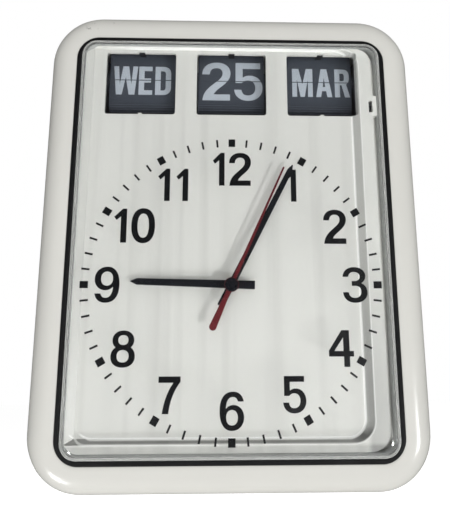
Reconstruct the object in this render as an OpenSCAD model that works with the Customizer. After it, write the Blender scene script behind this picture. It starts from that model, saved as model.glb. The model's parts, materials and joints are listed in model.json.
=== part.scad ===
// Calendar wall clock: moulded case, raised crystal with the dial printed on it,
// stepped dial tray, three split-flap calendar units and a quartz movement.
// X runs to the right, -Y points at the viewer, +Z is up, millimetres.
// The origin lies on the wall plane, behind the centre of the case.
// The calendar units and the minute ring set the width and height of the tray,
// and the crystal, the rubber seal and the case follow round it.

/* [Case] */
// Height of the bezel face above the wall
case_front = 75; // [73:1:78]
// Gap between the wall and the rear rim of the case
rim_gap = 2; // [1:0.5:4]
// Radius of the rounded front edge
case_edge = 20; // [18:1:22]
// Wall thickness of the case
case_wall = 3; // [2:0.25:3.5]
// Flat width of the bezel round the opening
bezel_flat = 6.75; // [4:0.25:10]
// Corner radius of the opening in the bezel
opening_corner = 19; // [17:0.5:22]

/* [Seal and crystal] */
// Thickness of the rubber between case and crystal
gasket_t = 3.4; // [2.4:0.2:4]
// How far the rubber stands above the bezel
gasket_proud = 0.8; // [0.2:0.2:1.6]
// Thickness of the rubber lip under the bezel
gasket_lip = 2.7; // [2:0.1:3]
// How far the flanges reach under the bezel
flange_reach = 2.7; // [2:0.1:3.4]
// Thickness of each flange
flange_t = 2.5; // [2:0.1:3]
// Wall thickness of the crystal
crystal_t = 2.5; // [2:0.1:3]
// Radius of the crystal's front edge
crystal_edge = 13; // [8:0.5:13]

/* [Dial tray] */
// Outer radius of the printed minute ring
ring_r = 118; // [108:1:126]
// Space between the ring and the tray's lower edge
ring_margin = 8.25; // [7:0.25:12]
// Height of the line where the flaps meet, above the dial axis
split_rise = 180.5; // [176:0.5:190]
// Space between the windows and the tray's upper edge
top_margin = 5.85; // [5.5:0.05:12]
// Space between the day unit and the tray's left edge
left_margin = 9.1; // [8.5:0.1:14]
// Space between the month unit and the tray's right edge
right_margin = 3.6; // [3.4:0.1:5]
// Rise of the tray ledge above the bezel
ledge_rise = 1; // [0.5:0.5:3]
// Depth of the dial floor below the ledge
floor_depth = 5; // [4:0.5:5.5]
// Sheet thickness of the tray
tray_t = 2.5; // [2:0.1:3]
// Width of the ledge on the right
ledge_w = 11.4; // [9:0.2:13]
// Width of the ledge along the bottom
ledge_bottom_w = 7; // [5:0.2:9]
// Run of the sloping step on the right
step_run_right = 6; // [2:0.2:8]
// Run of the sloping step at the bottom
step_run_bottom = 2.6; // [1:0.2:5]
// Run of the sloping wall on the left
step_run_left = 6.9; // [2:0.2:9]
// Corner radius of the tray on the right
tray_corner = 17; // [14:0.5:20]
// Corner radius of the floor on the right
floor_corner = 14; // [8:1:20]
// Space between the edge of a flap and the side of its window
flap_side = 0.7; // [0.5:0.1:1.5]
// Depth of a window below the line where the flaps meet
window_below = 35.9; // [30:0.1:35.9]
// Corner radius of a calendar window
window_corner = 2.5; // [1:0.5:4]
// Width of the notch for the clip at the top of a window
notch_w = 5.6; // [5.4:0.1:8]
// Depth of that notch
notch_d = 1.6; // [1:0.1:2]
// Width of the small tab at the foot of the outer windows
tab_w = 3; // [2:0.5:6]

/* [Calendar units] */
// Free space between two units
unit_gap = 0.3; // [0.3:0.1:2]
// Depth of the flaps behind the back of the tray
flap_depth = 7; // [7:0.5:9]
// Width of a flap
flap_w = 59.6; // [54:0.2:64]
// Height of one flap
flap_h = 21.8; // [19:0.2:24]
// Thickness of a flap
flap_t = 0.25; // [0.2:0.01:0.28]
// Clearance of a falling flap at the top of its window
swing_gap = 0.35; // [0.3:0.05:1]
// Clearance of a falling flap behind the crystal
flap_clear = 2.2; // [1:0.1:4]
// Stations round the drum
flap_count = 31; // [28:1:34]
// Radius of the circle that carries the flaps
station_r = 11; // [10:0.5:12]
// Thickness of the side cheeks
cheek_t = 1.5; // [1.2:0.1:2]
// Thickness of a unit's window plate
plate_t = 2.5; // [2:0.1:3]
// Width of the ears that hold a unit's screws
ear_w = 5.6; // [5.4:0.1:7]
// Radius of the drum axle
axle_r = 2; // [1.5:0.1:2.5]
// Clearance between the drum gear and the back of the tray
gear_gap = 1.1; // [0.8:0.1:2]
// Teeth on the drum gear
drum_teeth = 32; // [28:2:32]
// Teeth on the setting pinion
pinion_teeth = 16; // [14:2:16]
// Thickness of the setting gears
gear_t = 3; // [2.5:0.1:3.5]
// Radius of the ratchet wheel
ratchet_r = 13; // [12:0.5:14]
// Thickness of a setting wheel
set_wheel_t = 4.5; // [4:0.1:4.6]
// Depth of the setting wheels' rims below the back of the case
set_wheel_sink = 6.5; // [5:0.5:7]

/* [Hands] */
// Length of the hour hand
hour_len = 81; // [70:1:90]
// Distance from the minute hand's tip to the edge of the ring
minute_gap = 7; // [3:0.5:20]
// Distance from the second hand's tip to the edge of the ring
second_gap = 12.5; // [3:0.5:20]
// Tail of the hour and minute hands
hand_tail = 19; // [12:1:25]
// Tail of the second hand
second_tail = 38.5; // [25:0.5:45]
// Width of the hour hand at its tail
hour_w = 6.8; // [5:0.2:9]
// Width of the minute hand at its tail
minute_w = 5.8; // [4:0.2:8]
// Radius of the second hand's round tail
second_tail_r = 2.9; // [2:0.1:4]
// Radius of the hand hubs
hub_r = 5.7; // [5:0.1:7]
// Thickness of the hands
hand_t = 0.8; // [0.5:0.1:1]
// Free height between two hands
hand_gap = 1.7; // [1.2:0.1:2]
// Hour shown, as hours after twelve
hour_shown = 9.055; // [0:0.005:12]
// Minute shown
minute_shown = 4.57; // [0:0.01:60]
// Second shown
second_shown = 4.05; // [0:0.05:60]

/* [Movement] */
// Side of the square movement housing
movement_w = 56; // [54:1:60]
// Depth of the movement housing
movement_d = 16; // [15:1:18]
// Radius of the threaded bush
bush_r = 4; // [3.8:0.1:4.4]
// Radius of the hour tube
hour_tube_r = 2.6; // [2.5:0.05:2.8]
// Radius of the minute arbor
minute_arbor_r = 1.75; // [1.6:0.05:1.9]
// Radius of the second arbor
second_arbor_r = 0.75; // [0.6:0.05:0.9]
// Radius of the time setting knob
knob_r = 9; // [7:0.5:10]
// Height of the time setting knob
knob_h = 6; // [5:0.5:6]
// Radius of the midnight cam at its lowest point
cam_r = 10; // [9:0.5:11]
// Rise of the midnight cam over one turn
cam_rise = 2; // [1:0.5:3]
// Travel of the push bar
bar_lift = 4; // [3:0.5:4.5]

/* [Rear] */
// Thickness of the rear cover
cover_t = 3; // [2.5:0.1:3.5]
// Depth of the pockets round the setting wheels and knob
pocket_d = 9; // [8.5:0.5:9.5]
// Wall thickness of the pockets
pocket_wall = 2.5; // [2:0.1:2.5]
// Radius of a battery cell
cell_r = 17.1; // [16.8:0.1:17.4]
// Length of a battery cell
cell_len = 61.5; // [60:0.5:62.5]
// Height of the battery bay's centre above the foot of the case
bay_rise = 70; // [64:1:76]
// Depth of the keyhole's round end below the top of the case
keyhole_drop = 41; // [38:1:50]
// Radius of the round end of the keyhole
keyhole_r = 5; // [4.5:0.1:5.5]
// Width of the narrow end of the keyhole
keyhole_slot = 5; // [4.2:0.1:5.5]
// Width of the hanger plate
hanger_w = 44; // [40:1:48]
// Height of the hanger plate
hanger_h = 34; // [32:1:38]
// Thickness of the hanger plate
hanger_t = 1.5; // [1:0.1:2]
// Radius of the screw bosses for the rear cover
boss_r = 4.5; // [4:0.1:5]

/* [Fits] */
// Radial clearance of a shaft in its bearing
running_fit = 0.05; // [0.02:0.01:0.08]
// Clearance between fixed pieces
seat_gap = 0.3; // [0.2:0.05:0.4]

/* [Hidden] */
$fn = 64;
small_fn = 32;
eps = 0.01;

through = 2 * case_front;

// Levels above the wall, from the bezel back to the drums
bezel_back = case_front - case_wall;
lip_top = bezel_back - seat_gap;
crystal_flange_top = lip_top - gasket_lip;
tray_flange_top = crystal_flange_top - flange_t;
tray_rear = tray_flange_top - flange_t;
ledge_level = case_front + ledge_rise;
floor_level = ledge_level - floor_depth;
floor_back = floor_level - tray_t;
flap_level = floor_back - flap_depth;
drum_level = flap_level - station_r;
dial_print = flap_level + flap_h + flap_clear;
crystal_front = dial_print + crystal_t;

// Calendar unit, from its drum outwards
core_r = station_r - 1;
disc_gap = 0.4;
disc_t = 1.8;
disc_x = flap_w / 2 + disc_gap;
disc_r = station_r + 0.8;
cheek_gap = 0.5;
cheek_x = disc_x + disc_t + cheek_gap;
unit_w = 2 * (cheek_x + cheek_t + ear_w);
unit_pitch = unit_w + unit_gap;
drum_x = [-unit_pitch, 0, unit_pitch];
gear_x = cheek_x + cheek_t + cheek_gap;
gear_module = (flap_depth + station_r - gear_gap) / (drum_teeth / 2 + 0.9);
gear_backlash = 0.55;
ratchet_t = 2;
set_wheel_x = gear_x + gear_t + 0.4;
gear_distance = gear_module * (drum_teeth + pinion_teeth) / 2;
set_axis_level = drum_level - gear_distance;
set_wheel_r = set_axis_level - set_wheel_sink;
stub_end = set_wheel_x + set_wheel_t + 0.5;
pack_reach = station_r + flap_h;
pack_spacing = 0.1;
flap_play = 0.05;
frame_corner = 7;
frame_lower = pack_reach + 2.2;
frame_rear = drum_level - pack_reach + seat_gap;
rail = 4;
rail_t = 2.5;
cheek_top = flap_h - 2;
ear_h = 5;
unit_screw_x = cheek_x + cheek_t + 2.6;
unit_screw_y = [-15, 12];
unit_screw_r = 1.1;
clip_w = 5.2;
clip_t = 0.6;

// Tray round the units and the ring, then the crystal, the seal and the case round the tray
window_w = flap_w + 2 * flap_side;
window_above = ceil(10 * (sqrt(flap_h * flap_h - flap_depth * flap_depth) + swing_gap)) / 10;
window_h = window_above + window_below;
tray_side_gap = 0.5;
tray_bottom_gap = 2.6;
tray_border = 0.8;
tray_left = -(unit_pitch + unit_w / 2 + left_margin);
tray_right = unit_pitch + unit_w / 2 + right_margin;
crystal_w = 2 * (tray_side_gap + crystal_t - tray_left);
crystal_h = split_rise + window_above + top_margin + ring_r + ring_margin
  + tray_side_gap + tray_bottom_gap + 2 * crystal_t;
dial_drop = crystal_h / 2 - crystal_t - tray_bottom_gap - ring_margin - ring_r;
split_height = split_rise - dial_drop;
window_top = split_height + window_above;
tray_top = window_top + top_margin;
tray_bottom = -(dial_drop + ring_r + ring_margin);
frame_top = tray_top - tray_t - seat_gap - split_height;
crystal_corner = opening_corner - gasket_t;
tray_left_corner = crystal_corner - crystal_t - tray_side_gap;
opening_w = crystal_w + 2 * gasket_t;
opening_h = crystal_h + 2 * gasket_t;
flange_w = opening_w + 2 * flange_reach;
flange_h = opening_h + 2 * flange_reach;
flange_corner = opening_corner + flange_reach;
case_w = opening_w + 2 * (case_edge + bezel_flat);
case_h = opening_h + 2 * (case_edge + bezel_flat);
case_corner = opening_corner + case_edge + bezel_flat;
catch_y = split_height - 29;
catch_slot = [3.7, 10.4];

// Hands, from the dial floor outwards
washer_t = 0.6;
nut_t = 2;
nut_flats = 10;
bush_top = floor_level + washer_t + nut_t + 0.3;
hour_level = bush_top + 1;
minute_level = hour_level + hand_t + hand_gap;
second_level = minute_level + hand_t + hand_gap - 0.2;
minute_len = ring_r - minute_gap;
second_len = ring_r - second_gap;
second_t = 0.6;
tip_len = 5;
collet_t = 0.7;
movement_rear = floor_back - movement_d;
hour_foot = movement_rear + 5 + seat_gap;
minute_foot = movement_rear + 3.5 + seat_gap;
second_foot = movement_rear + 2 + seat_gap;
arbor_pin_r = 1.5;

// Midnight cam and push bar behind the movement
cam_at = [-14, 15 - dial_drop];
cam_t = 2.6;
bar_t = 2;
bar_w = 8;
bar_level = movement_rear - cam_t - seat_gap;
bar_y = split_height - frame_lower - 9;
bar_foot = cam_at[1] + cam_r + cam_rise + seat_gap;
guide_y = [bar_foot + 32.2, bar_y - 22];
guide_r = 3;

// Rear cover, knob and battery bay
cover_w = case_w - 2 * case_wall - 2 * seat_gap;
cover_h = case_h - 2 * case_wall - 2 * seat_gap;
cover_corner = case_corner - case_wall - seat_gap;
boss_x = case_w / 2 - case_wall - boss_r - 1;
boss_y = case_h / 2 - 51;
boss_h = 40;
screw_r = 1.5;
pilot_r = 1.6;
cover_head_r = 2.9;
tray_boss_x = opening_w / 2 + flange_reach + 4.7;
tray_boss_y = opening_h / 2 + flange_reach + 4.7;
tray_boss_spread = [opening_w / 2 - 54.6, opening_h / 2 - 79.25];
tray_boss_r = 3.4;
tray_head_r = 6;
tray_head_t = 1.8;
knob_offset = [12, 2];
knob_rear = 2.5;
knob_stem_r = 2;
knob_pocket = [52, 36];
bay_y = bay_rise - case_h / 2;
bay_w = 4 * cell_r + 2.4;
bay_h = cell_len + 7.5;
bay_wall = 2;
bay_depth = 2 * cell_r + 1.6;
door_t = 2;
door_step = 3;
contact_t = 0.6;
contact_w = 16;
wheel_slot = sqrt(set_wheel_r * set_wheel_r - pow(set_axis_level - pocket_d - pocket_wall, 2)) + 0.6;
wheel_pocket = [set_wheel_t + 12.5, 2 * wheel_slot + 11];
keyhole_height = case_h / 2 - keyhole_drop;
keyhole_rise = keyhole_r + 6;
hanger_y = keyhole_height + 4;
hanger_well = pocket_d;
hanger_screw_x = hanger_w / 2 - 5;
hanger_screw_r = 1.2;

// Local x runs to the right, local y up, local z from the wall to the viewer
module facing() {
  rotate([90, 0, 0]) children();
}

module at_dial() {
  translate([0, -dial_drop, 0]) children();
}

// Axis along local x, through the drum or the setting wheel of unit i
module at_drum(i, level = drum_level) {
  translate([drum_x[i], split_height, level]) rotate([0, 90, 0]) children();
}

module rounded_rect(w, h, r) {
  union() {
    square([w - 2 * r, h], center = true);
    square([w, h - 2 * r], center = true);
    for (sx = [-1, 1], sy = [-1, 1]) translate([sx * (w / 2 - r), sy * (h / 2 - r)]) circle(r);
  }
}

module rounded_box(w, h, r, z0, z1) {
  translate([0, 0, z0]) linear_extrude(z1 - z0) rounded_rect(w, h, r);
}

// Rectangle given by its edges, with one radius on the right and one on the left
module edged_rect(left, right, bottom, top, r, rl) {
  union() {
    translate([left + rl, bottom]) square([right - r - left - rl, top - bottom]);
    translate([left, bottom + rl]) square([right - r - left, top - bottom - 2 * rl]);
    translate([right - r - 1, bottom + r]) square([r + 1, top - bottom - 2 * r]);
    for (y = [bottom + r, top - r]) translate([right - r, y]) circle(r);
    for (y = [bottom + rl, top - rl]) translate([left + rl, y]) circle(rl);
  }
}

// Section swept round a rounded rectangle; section x is the distance from the corner centres
module sweep_frame(w, h, r) {
  for (i = [0:3]) {
    sx = (i == 0 || i == 3) ? 1 : -1;
    sy = i < 2 ? 1 : -1;
    translate([sx * (w / 2 - r), sy * (h / 2 - r), 0]) rotate(i * 90) rotate_extrude(angle = 90) children();
  }
  for (turn = [0, 180]) {
    rotate(turn) translate([w / 2 - r, h / 2 - r, 0]) rotate([90, 0, 0]) linear_extrude(h - 2 * r) children();
    rotate(turn) translate([r - w / 2, h / 2 - r, 0]) rotate([90, 0, 90]) linear_extrude(w - 2 * r) children();
  }
}

// Slab with a quarter-round front edge
module pillow(w, h, z0, z1, r, e) {
  rounded_box(w, h, r, z0, z1 - e);
  rounded_box(w - 2 * e, h - 2 * e, r - e, z1 - e, z1);
  sweep_frame(w, h, r) translate([r - e, z1 - e]) intersection() {
    circle(e);
    square(e);
  }
}

// Involute gear; a tooth points along +x when phase is 0
function involute(a) = tan(a) - a * PI / 180;
function flank_angle(n, rp, rho, slack) =
  let (rb = rp * cos(20), a = rho > rb ? acos(rb / rho) : 0)
  90 / n - slack + (involute(20) - involute(a)) * 180 / PI;
function gear_points(n, m, slack, phase) =
  let (rp = n * m / 2, rr = rp - 1.15 * m, ra = rp + 0.9 * m, steps = [rr, rp - 0.5 * m, rp, rp + 0.5 * m, ra])
  [for (i = [0:n - 1]) each [
    for (rho = steps) [rho, i * 360 / n + phase - flank_angle(n, rp, rho, slack)],
    for (k = [4:-1:0]) [steps[k], i * 360 / n + phase + flank_angle(n, rp, steps[k], slack)]
  ]];
function polar(points) = [for (p = points) [p[0] * cos(p[1]), p[0] * sin(p[1])]];

module gear(n, thickness, phase = 0) {
  linear_extrude(thickness) polygon(polar(gear_points(n, gear_module, gear_backlash, phase)));
}

// Saw-toothed or notched wheel with a given tooth depth and lean
module toothed_disc(n, r, depth, lean, thickness) {
  step = 360 / n;
  linear_extrude(thickness) polygon(polar([
    for (i = [0:n - 1]) each [
      [r - depth, i * step - step * 0.2],
      [r, i * step + step * lean],
      [r, i * step + step * (lean + 0.25)]
    ]
  ]));
}

module screw(head_r, head_t, shank_r, length) {
  cylinder(h = head_t, r = head_r, $fn = small_fn);
  translate([0, 0, head_t - eps]) cylinder(h = length + eps, r = shank_r, $fn = small_fn);
}

module at_cover_bosses() {
  for (sx = [-1, 1], y = [-boss_y, 0, boss_y]) translate([sx * boss_x, y, 0]) children();
}

module at_tray_bosses() {
  for (sx = [-1, 1], k = [-1:1]) translate([sx * tray_boss_x, k * tray_boss_spread[1], 0]) children();
  for (sy = [-1, 1], k = [-1, 1]) translate([k * tray_boss_spread[0], sy * tray_boss_y, 0]) children();
}

// Case: rounded shell with screw bosses and the bezel opening
module front_case() {
  color("ivory") facing() difference() {
    union() {
      difference() {
        pillow(case_w, case_h, rim_gap, case_front, case_corner, case_edge);
        pillow(case_w - 2 * case_wall, case_h - 2 * case_wall, rim_gap - 1, bezel_back,
          case_corner - case_wall, case_edge - case_wall);
        rounded_box(opening_w, opening_h, opening_corner, bezel_back - 1, case_front + 1);
      }
      intersection() {
        pillow(case_w - case_wall, case_h - case_wall, rim_gap + 1, case_front - case_wall / 2,
          case_corner - case_wall / 2, case_edge - case_wall / 2);
        union() {
          at_cover_bosses() translate([0, 0, cover_t]) cylinder(h = boss_h, r = boss_r);
          for (sx = [-1, 1], y = [-boss_y, 0, boss_y])
            translate([sx * (boss_x + boss_r + 0.5) - 4, y - 1.5, cover_t]) cube([8, 3, boss_h]);
          at_tray_bosses() translate([0, 0, tray_rear]) cylinder(h = case_front - tray_rear, r = tray_boss_r);
        }
      }
    }
    at_cover_bosses() translate([0, 0, cover_t - 1]) cylinder(h = 15, r = pilot_r, $fn = small_fn);
    at_tray_bosses() translate([0, 0, tray_rear - 1]) cylinder(h = 7, r = pilot_r, $fn = small_fn);
  }
}

module keyhole_outline() {
  circle(keyhole_r);
  translate([-keyhole_slot / 2, 0]) square([keyhole_slot, keyhole_rise]);
  translate([0, keyhole_rise]) circle(keyhole_slot / 2);
}

// Rear cover: plate with wells for the wheels, the knob, the hanger and the battery bay
module rear_cover() {
  color("ivory") facing() difference() {
    union() {
      rounded_box(cover_w, cover_h, cover_corner, 0, cover_t);
      for (i = [0:2]) translate([drum_x[i] + set_wheel_x + set_wheel_t / 2, split_height, 0])
        rounded_box(wheel_pocket[0] + 2 * pocket_wall, wheel_pocket[1] + 2 * pocket_wall, 3,
          0, pocket_d + pocket_wall);
      at_dial() rounded_box(knob_pocket[0] + 2 * pocket_wall, knob_pocket[1] + 2 * pocket_wall, 6,
        0, pocket_d + pocket_wall);
      translate([0, hanger_y, 0]) rounded_box(hanger_w - 2, hanger_h - 2, 3,
        0, hanger_well + pocket_wall);
      translate([0, bay_y, 0]) rounded_box(bay_w + 2 * bay_wall, bay_h + 2 * bay_wall, 3,
        0, door_t + bay_depth + bay_wall);
    }
    for (i = [0:2]) translate([drum_x[i] + set_wheel_x + set_wheel_t / 2, split_height, 0]) {
      rounded_box(wheel_pocket[0], wheel_pocket[1], 2, -1, pocket_d);
      translate([-set_wheel_t / 2 - 0.7, -wheel_slot, 0])
        cube([set_wheel_t + 1.4, 2 * wheel_slot, pocket_d + pocket_wall + 1]);
    }
    at_dial() rounded_box(knob_pocket[0], knob_pocket[1], 5, -1, pocket_d);
    at_dial() translate(knob_offset) cylinder(h = pocket_d + pocket_wall + 1, r = knob_stem_r + 0.6);
    translate([0, hanger_y, 0]) {
      rounded_box(hanger_w + 2 * seat_gap, hanger_h + 2 * seat_gap, 2 + seat_gap, -1, hanger_t);
      rounded_box(hanger_w - 19, hanger_h - 7, 2, -1, hanger_well);
    }
    for (sx = [-1, 1]) translate([sx * hanger_screw_x, hanger_y, 0])
      cylinder(h = 10, r = hanger_screw_r + 0.1, $fn = small_fn);
    translate([0, bay_y, 0]) {
      rounded_box(bay_w, bay_h, 2, -1, door_t + bay_depth);
      rounded_box(bay_w + 2 * door_step, bay_h + 2 * door_step, 3, -1, door_t);
    }
    at_cover_bosses() {
      translate([0, 0, -1]) cylinder(h = cover_t + 2, r = screw_r + 0.3, $fn = small_fn);
      translate([0, 0, -1]) cylinder(h = 2.6, r = cover_head_r + seat_gap, $fn = small_fn);
    }
  }
}

// Rubber seal between the crystal and the bezel
module crystal_gasket() {
  color("black") facing() sweep_frame(opening_w, opening_h, opening_corner)
    translate([opening_corner, 0]) union() {
      translate([-gasket_t, crystal_flange_top])
        square([gasket_t, case_front + gasket_proud - crystal_flange_top]);
      translate([-gasket_t, crystal_flange_top])
        square([gasket_t + flange_reach, lip_top - crystal_flange_top]);
    }
}

// Clear raised box with a flange under the bezel
module crystal() {
  color("lightcyan", 0.3) facing() difference() {
    union() {
      pillow(crystal_w, crystal_h, tray_flange_top, crystal_front, crystal_corner, crystal_edge);
      rounded_box(flange_w, flange_h, flange_corner, tray_flange_top, crystal_flange_top);
    }
    pillow(crystal_w - 2 * crystal_t, crystal_h - 2 * crystal_t, tray_flange_top - 1, dial_print,
      crystal_corner - crystal_t, crystal_edge - crystal_t);
  }
}

module tray_outline(inset, r) {
  edged_rect(tray_left + inset, tray_right - inset, tray_bottom + inset, tray_top - inset, r,
    tray_left_corner - inset);
}

// Sunk floor with a sloping step to the ledge
module floor_recess() {
  hull() {
    translate([0, 0, floor_level]) linear_extrude(eps)
      edged_rect(tray_left + tray_border + step_run_left, tray_right - ledge_w - step_run_right,
        tray_bottom + ledge_bottom_w + step_run_bottom, tray_top - tray_border - 1,
        floor_corner, 1.5);
    translate([0, 0, ledge_level]) linear_extrude(1)
      edged_rect(tray_left + tray_border, tray_right - ledge_w, tray_bottom + ledge_bottom_w,
        tray_top - tray_border, floor_corner + 3, 1.5);
  }
}

// White stepped tray behind the crystal
module dial_tray() {
  color("ivory") facing() difference() {
    union() {
      translate([0, 0, tray_rear]) linear_extrude(ledge_level - tray_rear) tray_outline(0, tray_corner);
      rounded_box(flange_w, flange_h, flange_corner, tray_rear, tray_flange_top);
      translate([tray_right - 6, catch_y - 8, tray_rear + 1]) cube([10, 18, ledge_level - tray_rear - 1]);
      for (y = guide_y) translate([cam_at[0], y, 0]) {
        translate([0, 0, bar_level - 1]) cylinder(h = movement_d, r = guide_r / 2, $fn = small_fn);
        translate([0, 0, bar_level + bar_t + seat_gap])
          cylinder(h = floor_back - bar_level - bar_t, r = guide_r);
      }
    }
    floor_recess();
    difference() {
      translate([0, 0, tray_rear - 1]) linear_extrude(floor_back - tray_rear + 1)
        tray_outline(tray_t, tray_corner - tray_t);
      for (y = guide_y) translate([cam_at[0], y, 0]) cylinder(h = floor_level, r = guide_r);
    }
    translate([tray_right - ledge_w + 2, tray_bottom + 18, floor_back - 1])
      cube([ledge_w - 4.5, catch_y - tray_bottom - 30, ledge_level - tray_t - floor_back + 1]);
    for (i = [0:2]) translate([drum_x[i], window_top, floor_back - 1]) linear_extrude(floor_depth + tray_t + 2)
      difference() {
        union() {
          translate([0, -window_h / 2]) rounded_rect(window_w, window_h, window_corner);
          translate([-notch_w / 2, -1]) square([notch_w, 1 + notch_d]);
        }
        if (i != 1) translate([-tab_w / 2, -window_h - 1]) square([tab_w, 2.2]);
      }
    at_dial() translate([0, 0, floor_back - 1]) cylinder(h = tray_t + 2, r = bush_r + 0.3);
    translate([tray_right - 3.8, catch_y - 5, tray_rear]) cube([catch_slot[0], catch_slot[1], case_front]);
    at_unit_screws() translate([0, 0, floor_back - 1]) cylinder(h = 2.8, r = unit_screw_r + 0.1, $fn = small_fn);
  }
}

// Spring catch in the slot of the right-hand ledge
module crystal_catch() {
  w = catch_slot[0] - 0.4;
  h = catch_slot[1] - 2 * seat_gap;
  color("black") facing() translate([tray_right - 3.6, catch_y - 5 + seat_gap, tray_rear]) union() {
    cube([w, h, 3]);
    cube([1.2, h, ledge_level - tray_rear - 1.5]);
    translate([0, 3.4, 0]) cube([w, 3, ledge_level - tray_rear - 2.5]);
  }
}

module tray_screws() {
  color("silver") facing() at_tray_bosses() translate([0, 0, tray_rear - tray_head_t])
    screw(tray_head_r, tray_head_t, screw_r, 5.5);
}

module cover_screws() {
  color("silver") facing() at_cover_bosses() translate([0, 0, 0.1]) screw(cover_head_r, 1.5, screw_r, 12);
}

// Steel plate with the keyhole that hangs on a wall screw
module hanger_plate() {
  color("silver") facing() translate([0, hanger_y, 0]) difference() {
    rounded_box(hanger_w, hanger_h, 2, 0, hanger_t);
    translate([0, keyhole_height - hanger_y, -1]) linear_extrude(hanger_t + 2) keyhole_outline();
    for (sx = [-1, 1]) translate([sx * hanger_screw_x, 0, -1])
      cylinder(h = hanger_t + 2, r = hanger_screw_r + 0.2, $fn = small_fn);
  }
}

module hanger_screws() {
  color("silver") facing() for (sx = [-1, 1])
    translate([sx * hanger_screw_x, hanger_y, 0.2]) cylinder(h = 9, r = hanger_screw_r, $fn = small_fn);
}

// Quartz movement: closed housing with a stepped bearing bore through its threaded bush
module movement_housing() {
  rear = movement_rear;
  color("dimgray") facing() at_dial() difference() {
    union() {
      rounded_box(movement_w, movement_w, 4, rear, floor_back);
      translate([0, 0, floor_back - 1]) cylinder(h = bush_top - floor_back + 1, r = bush_r);
    }
    translate([0, 0, hour_foot - seat_gap]) cylinder(h = through, r = hour_tube_r + running_fit);
    translate([0, 0, minute_foot - seat_gap])
      cylinder(h = through, r = minute_arbor_r + running_fit, $fn = small_fn);
    translate([0, 0, second_foot - seat_gap])
      cylinder(h = through, r = second_arbor_r + running_fit, $fn = small_fn);
    translate([knob_offset[0], knob_offset[1], rear - 1])
      cylinder(h = 5, r = knob_stem_r + running_fit, $fn = small_fn);
    translate([cam_at[0], cam_at[1] + dial_drop, rear - 1])
      cylinder(h = 5, r = arbor_pin_r + running_fit, $fn = small_fn);
    translate([-movement_w / 2 + 5, -movement_w / 2 + 5, rear - 1]) cube([movement_w - 10, 9, 1.8]);
  }
}

module movement_washer() {
  color("silver") facing() at_dial() translate([0, 0, floor_level]) difference() {
    cylinder(h = washer_t, r = hub_r - 0.2);
    translate([0, 0, -1]) cylinder(h = washer_t + 2, r = bush_r + 0.2);
  }
}

module movement_nut() {
  color("goldenrod") facing() at_dial() translate([0, 0, floor_level + washer_t]) difference() {
    cylinder(h = nut_t, r = nut_flats / 2 / cos(30), $fn = 6);
    translate([0, 0, -1]) cylinder(h = nut_t + 2, r = bush_r + 0.05);
  }
}

function hour_angle() = -hour_shown * 30;
function minute_angle() = -minute_shown * 6;
function second_angle() = -second_shown * 6;

module hour_tube() {
  color("dimgray") facing() at_dial() difference() {
    translate([0, 0, hour_foot]) cylinder(h = hour_level - hour_foot, r = hour_tube_r);
    cylinder(h = through, r = minute_arbor_r + running_fit, $fn = small_fn);
  }
}

// Flat bar with a pointed tip, a square tail and a round hub
module bar_hand(length, tail, w_tail, w_tip, point, thickness, bore) {
  difference() {
    union() {
      linear_extrude(thickness) polygon([
        [-w_tail / 2, -tail], [w_tail / 2, -tail],
        [w_tip / 2, length - point], [0.4, length], [-0.4, length], [-w_tip / 2, length - point]
      ]);
      cylinder(h = thickness, r = hub_r);
      cylinder(h = thickness + collet_t, r = hub_r - 2);
    }
    translate([0, 0, -1]) cylinder(h = thickness + 3, r = bore, $fn = small_fn);
  }
}

module hour_hand() {
  color("black") facing() at_dial() translate([0, 0, hour_level]) rotate(hour_angle())
    bar_hand(hour_len, hand_tail, hour_w, hour_w - 1.6, tip_len, hand_t, minute_arbor_r + running_fit);
}

module minute_arbor() {
  color("silver") facing() at_dial() difference() {
    translate([0, 0, minute_foot]) cylinder(h = minute_level - minute_foot, r = minute_arbor_r, $fn = small_fn);
    cylinder(h = through, r = second_arbor_r + running_fit, $fn = small_fn);
  }
}

module minute_hand() {
  color("black") facing() at_dial() translate([0, 0, minute_level]) rotate(minute_angle())
    bar_hand(minute_len, hand_tail, minute_w, minute_w - 1.4, tip_len, hand_t, second_arbor_r + running_fit);
}

module second_arbor() {
  color("silver") facing() at_dial() translate([0, 0, second_foot])
    cylinder(h = second_level - second_foot, r = second_arbor_r, $fn = small_fn);
}

module second_hand() {
  r = second_tail_r;
  color("firebrick") facing() at_dial() translate([0, 0, second_level]) rotate(second_angle()) union() {
    linear_extrude(second_t) polygon([
      [-r, r - second_tail], [r, r - second_tail], [r / 2, 0],
      [r / 4, second_len], [-r / 4, second_len], [-r / 2, 0]
    ]);
    translate([0, r - second_tail, 0]) cylinder(h = second_t, r = r);
    cylinder(h = 2 * second_t, r = hub_r);
  }
}

// Knurled knob on a long stem, reached through its pocket in the rear cover
module time_knob() {
  color("dimgray") facing() at_dial() translate([knob_offset[0], knob_offset[1], 0]) union() {
    translate([0, 0, knob_rear]) toothed_disc(24, knob_r, 0.7, 0.1, knob_h);
    translate([0, 0, knob_rear + knob_h - eps])
      cylinder(h = movement_rear + 3.5 - knob_rear - knob_h, r = knob_stem_r, $fn = small_fn);
  }
}

// Snail cam turning once a day, on the back of the movement
module midnight_cam() {
  turns = 24;
  color("white") facing() translate([cam_at[0], cam_at[1], bar_level]) union() {
    linear_extrude(cam_t) polygon([
      for (k = [0:turns]) let (a = 150 + k * 360 / turns, r = cam_r + cam_rise * k / turns) [r * cos(a), r * sin(a)]
    ]);
    cylinder(h = cam_t + 4, r = arbor_pin_r, $fn = small_fn);
  }
}

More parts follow.
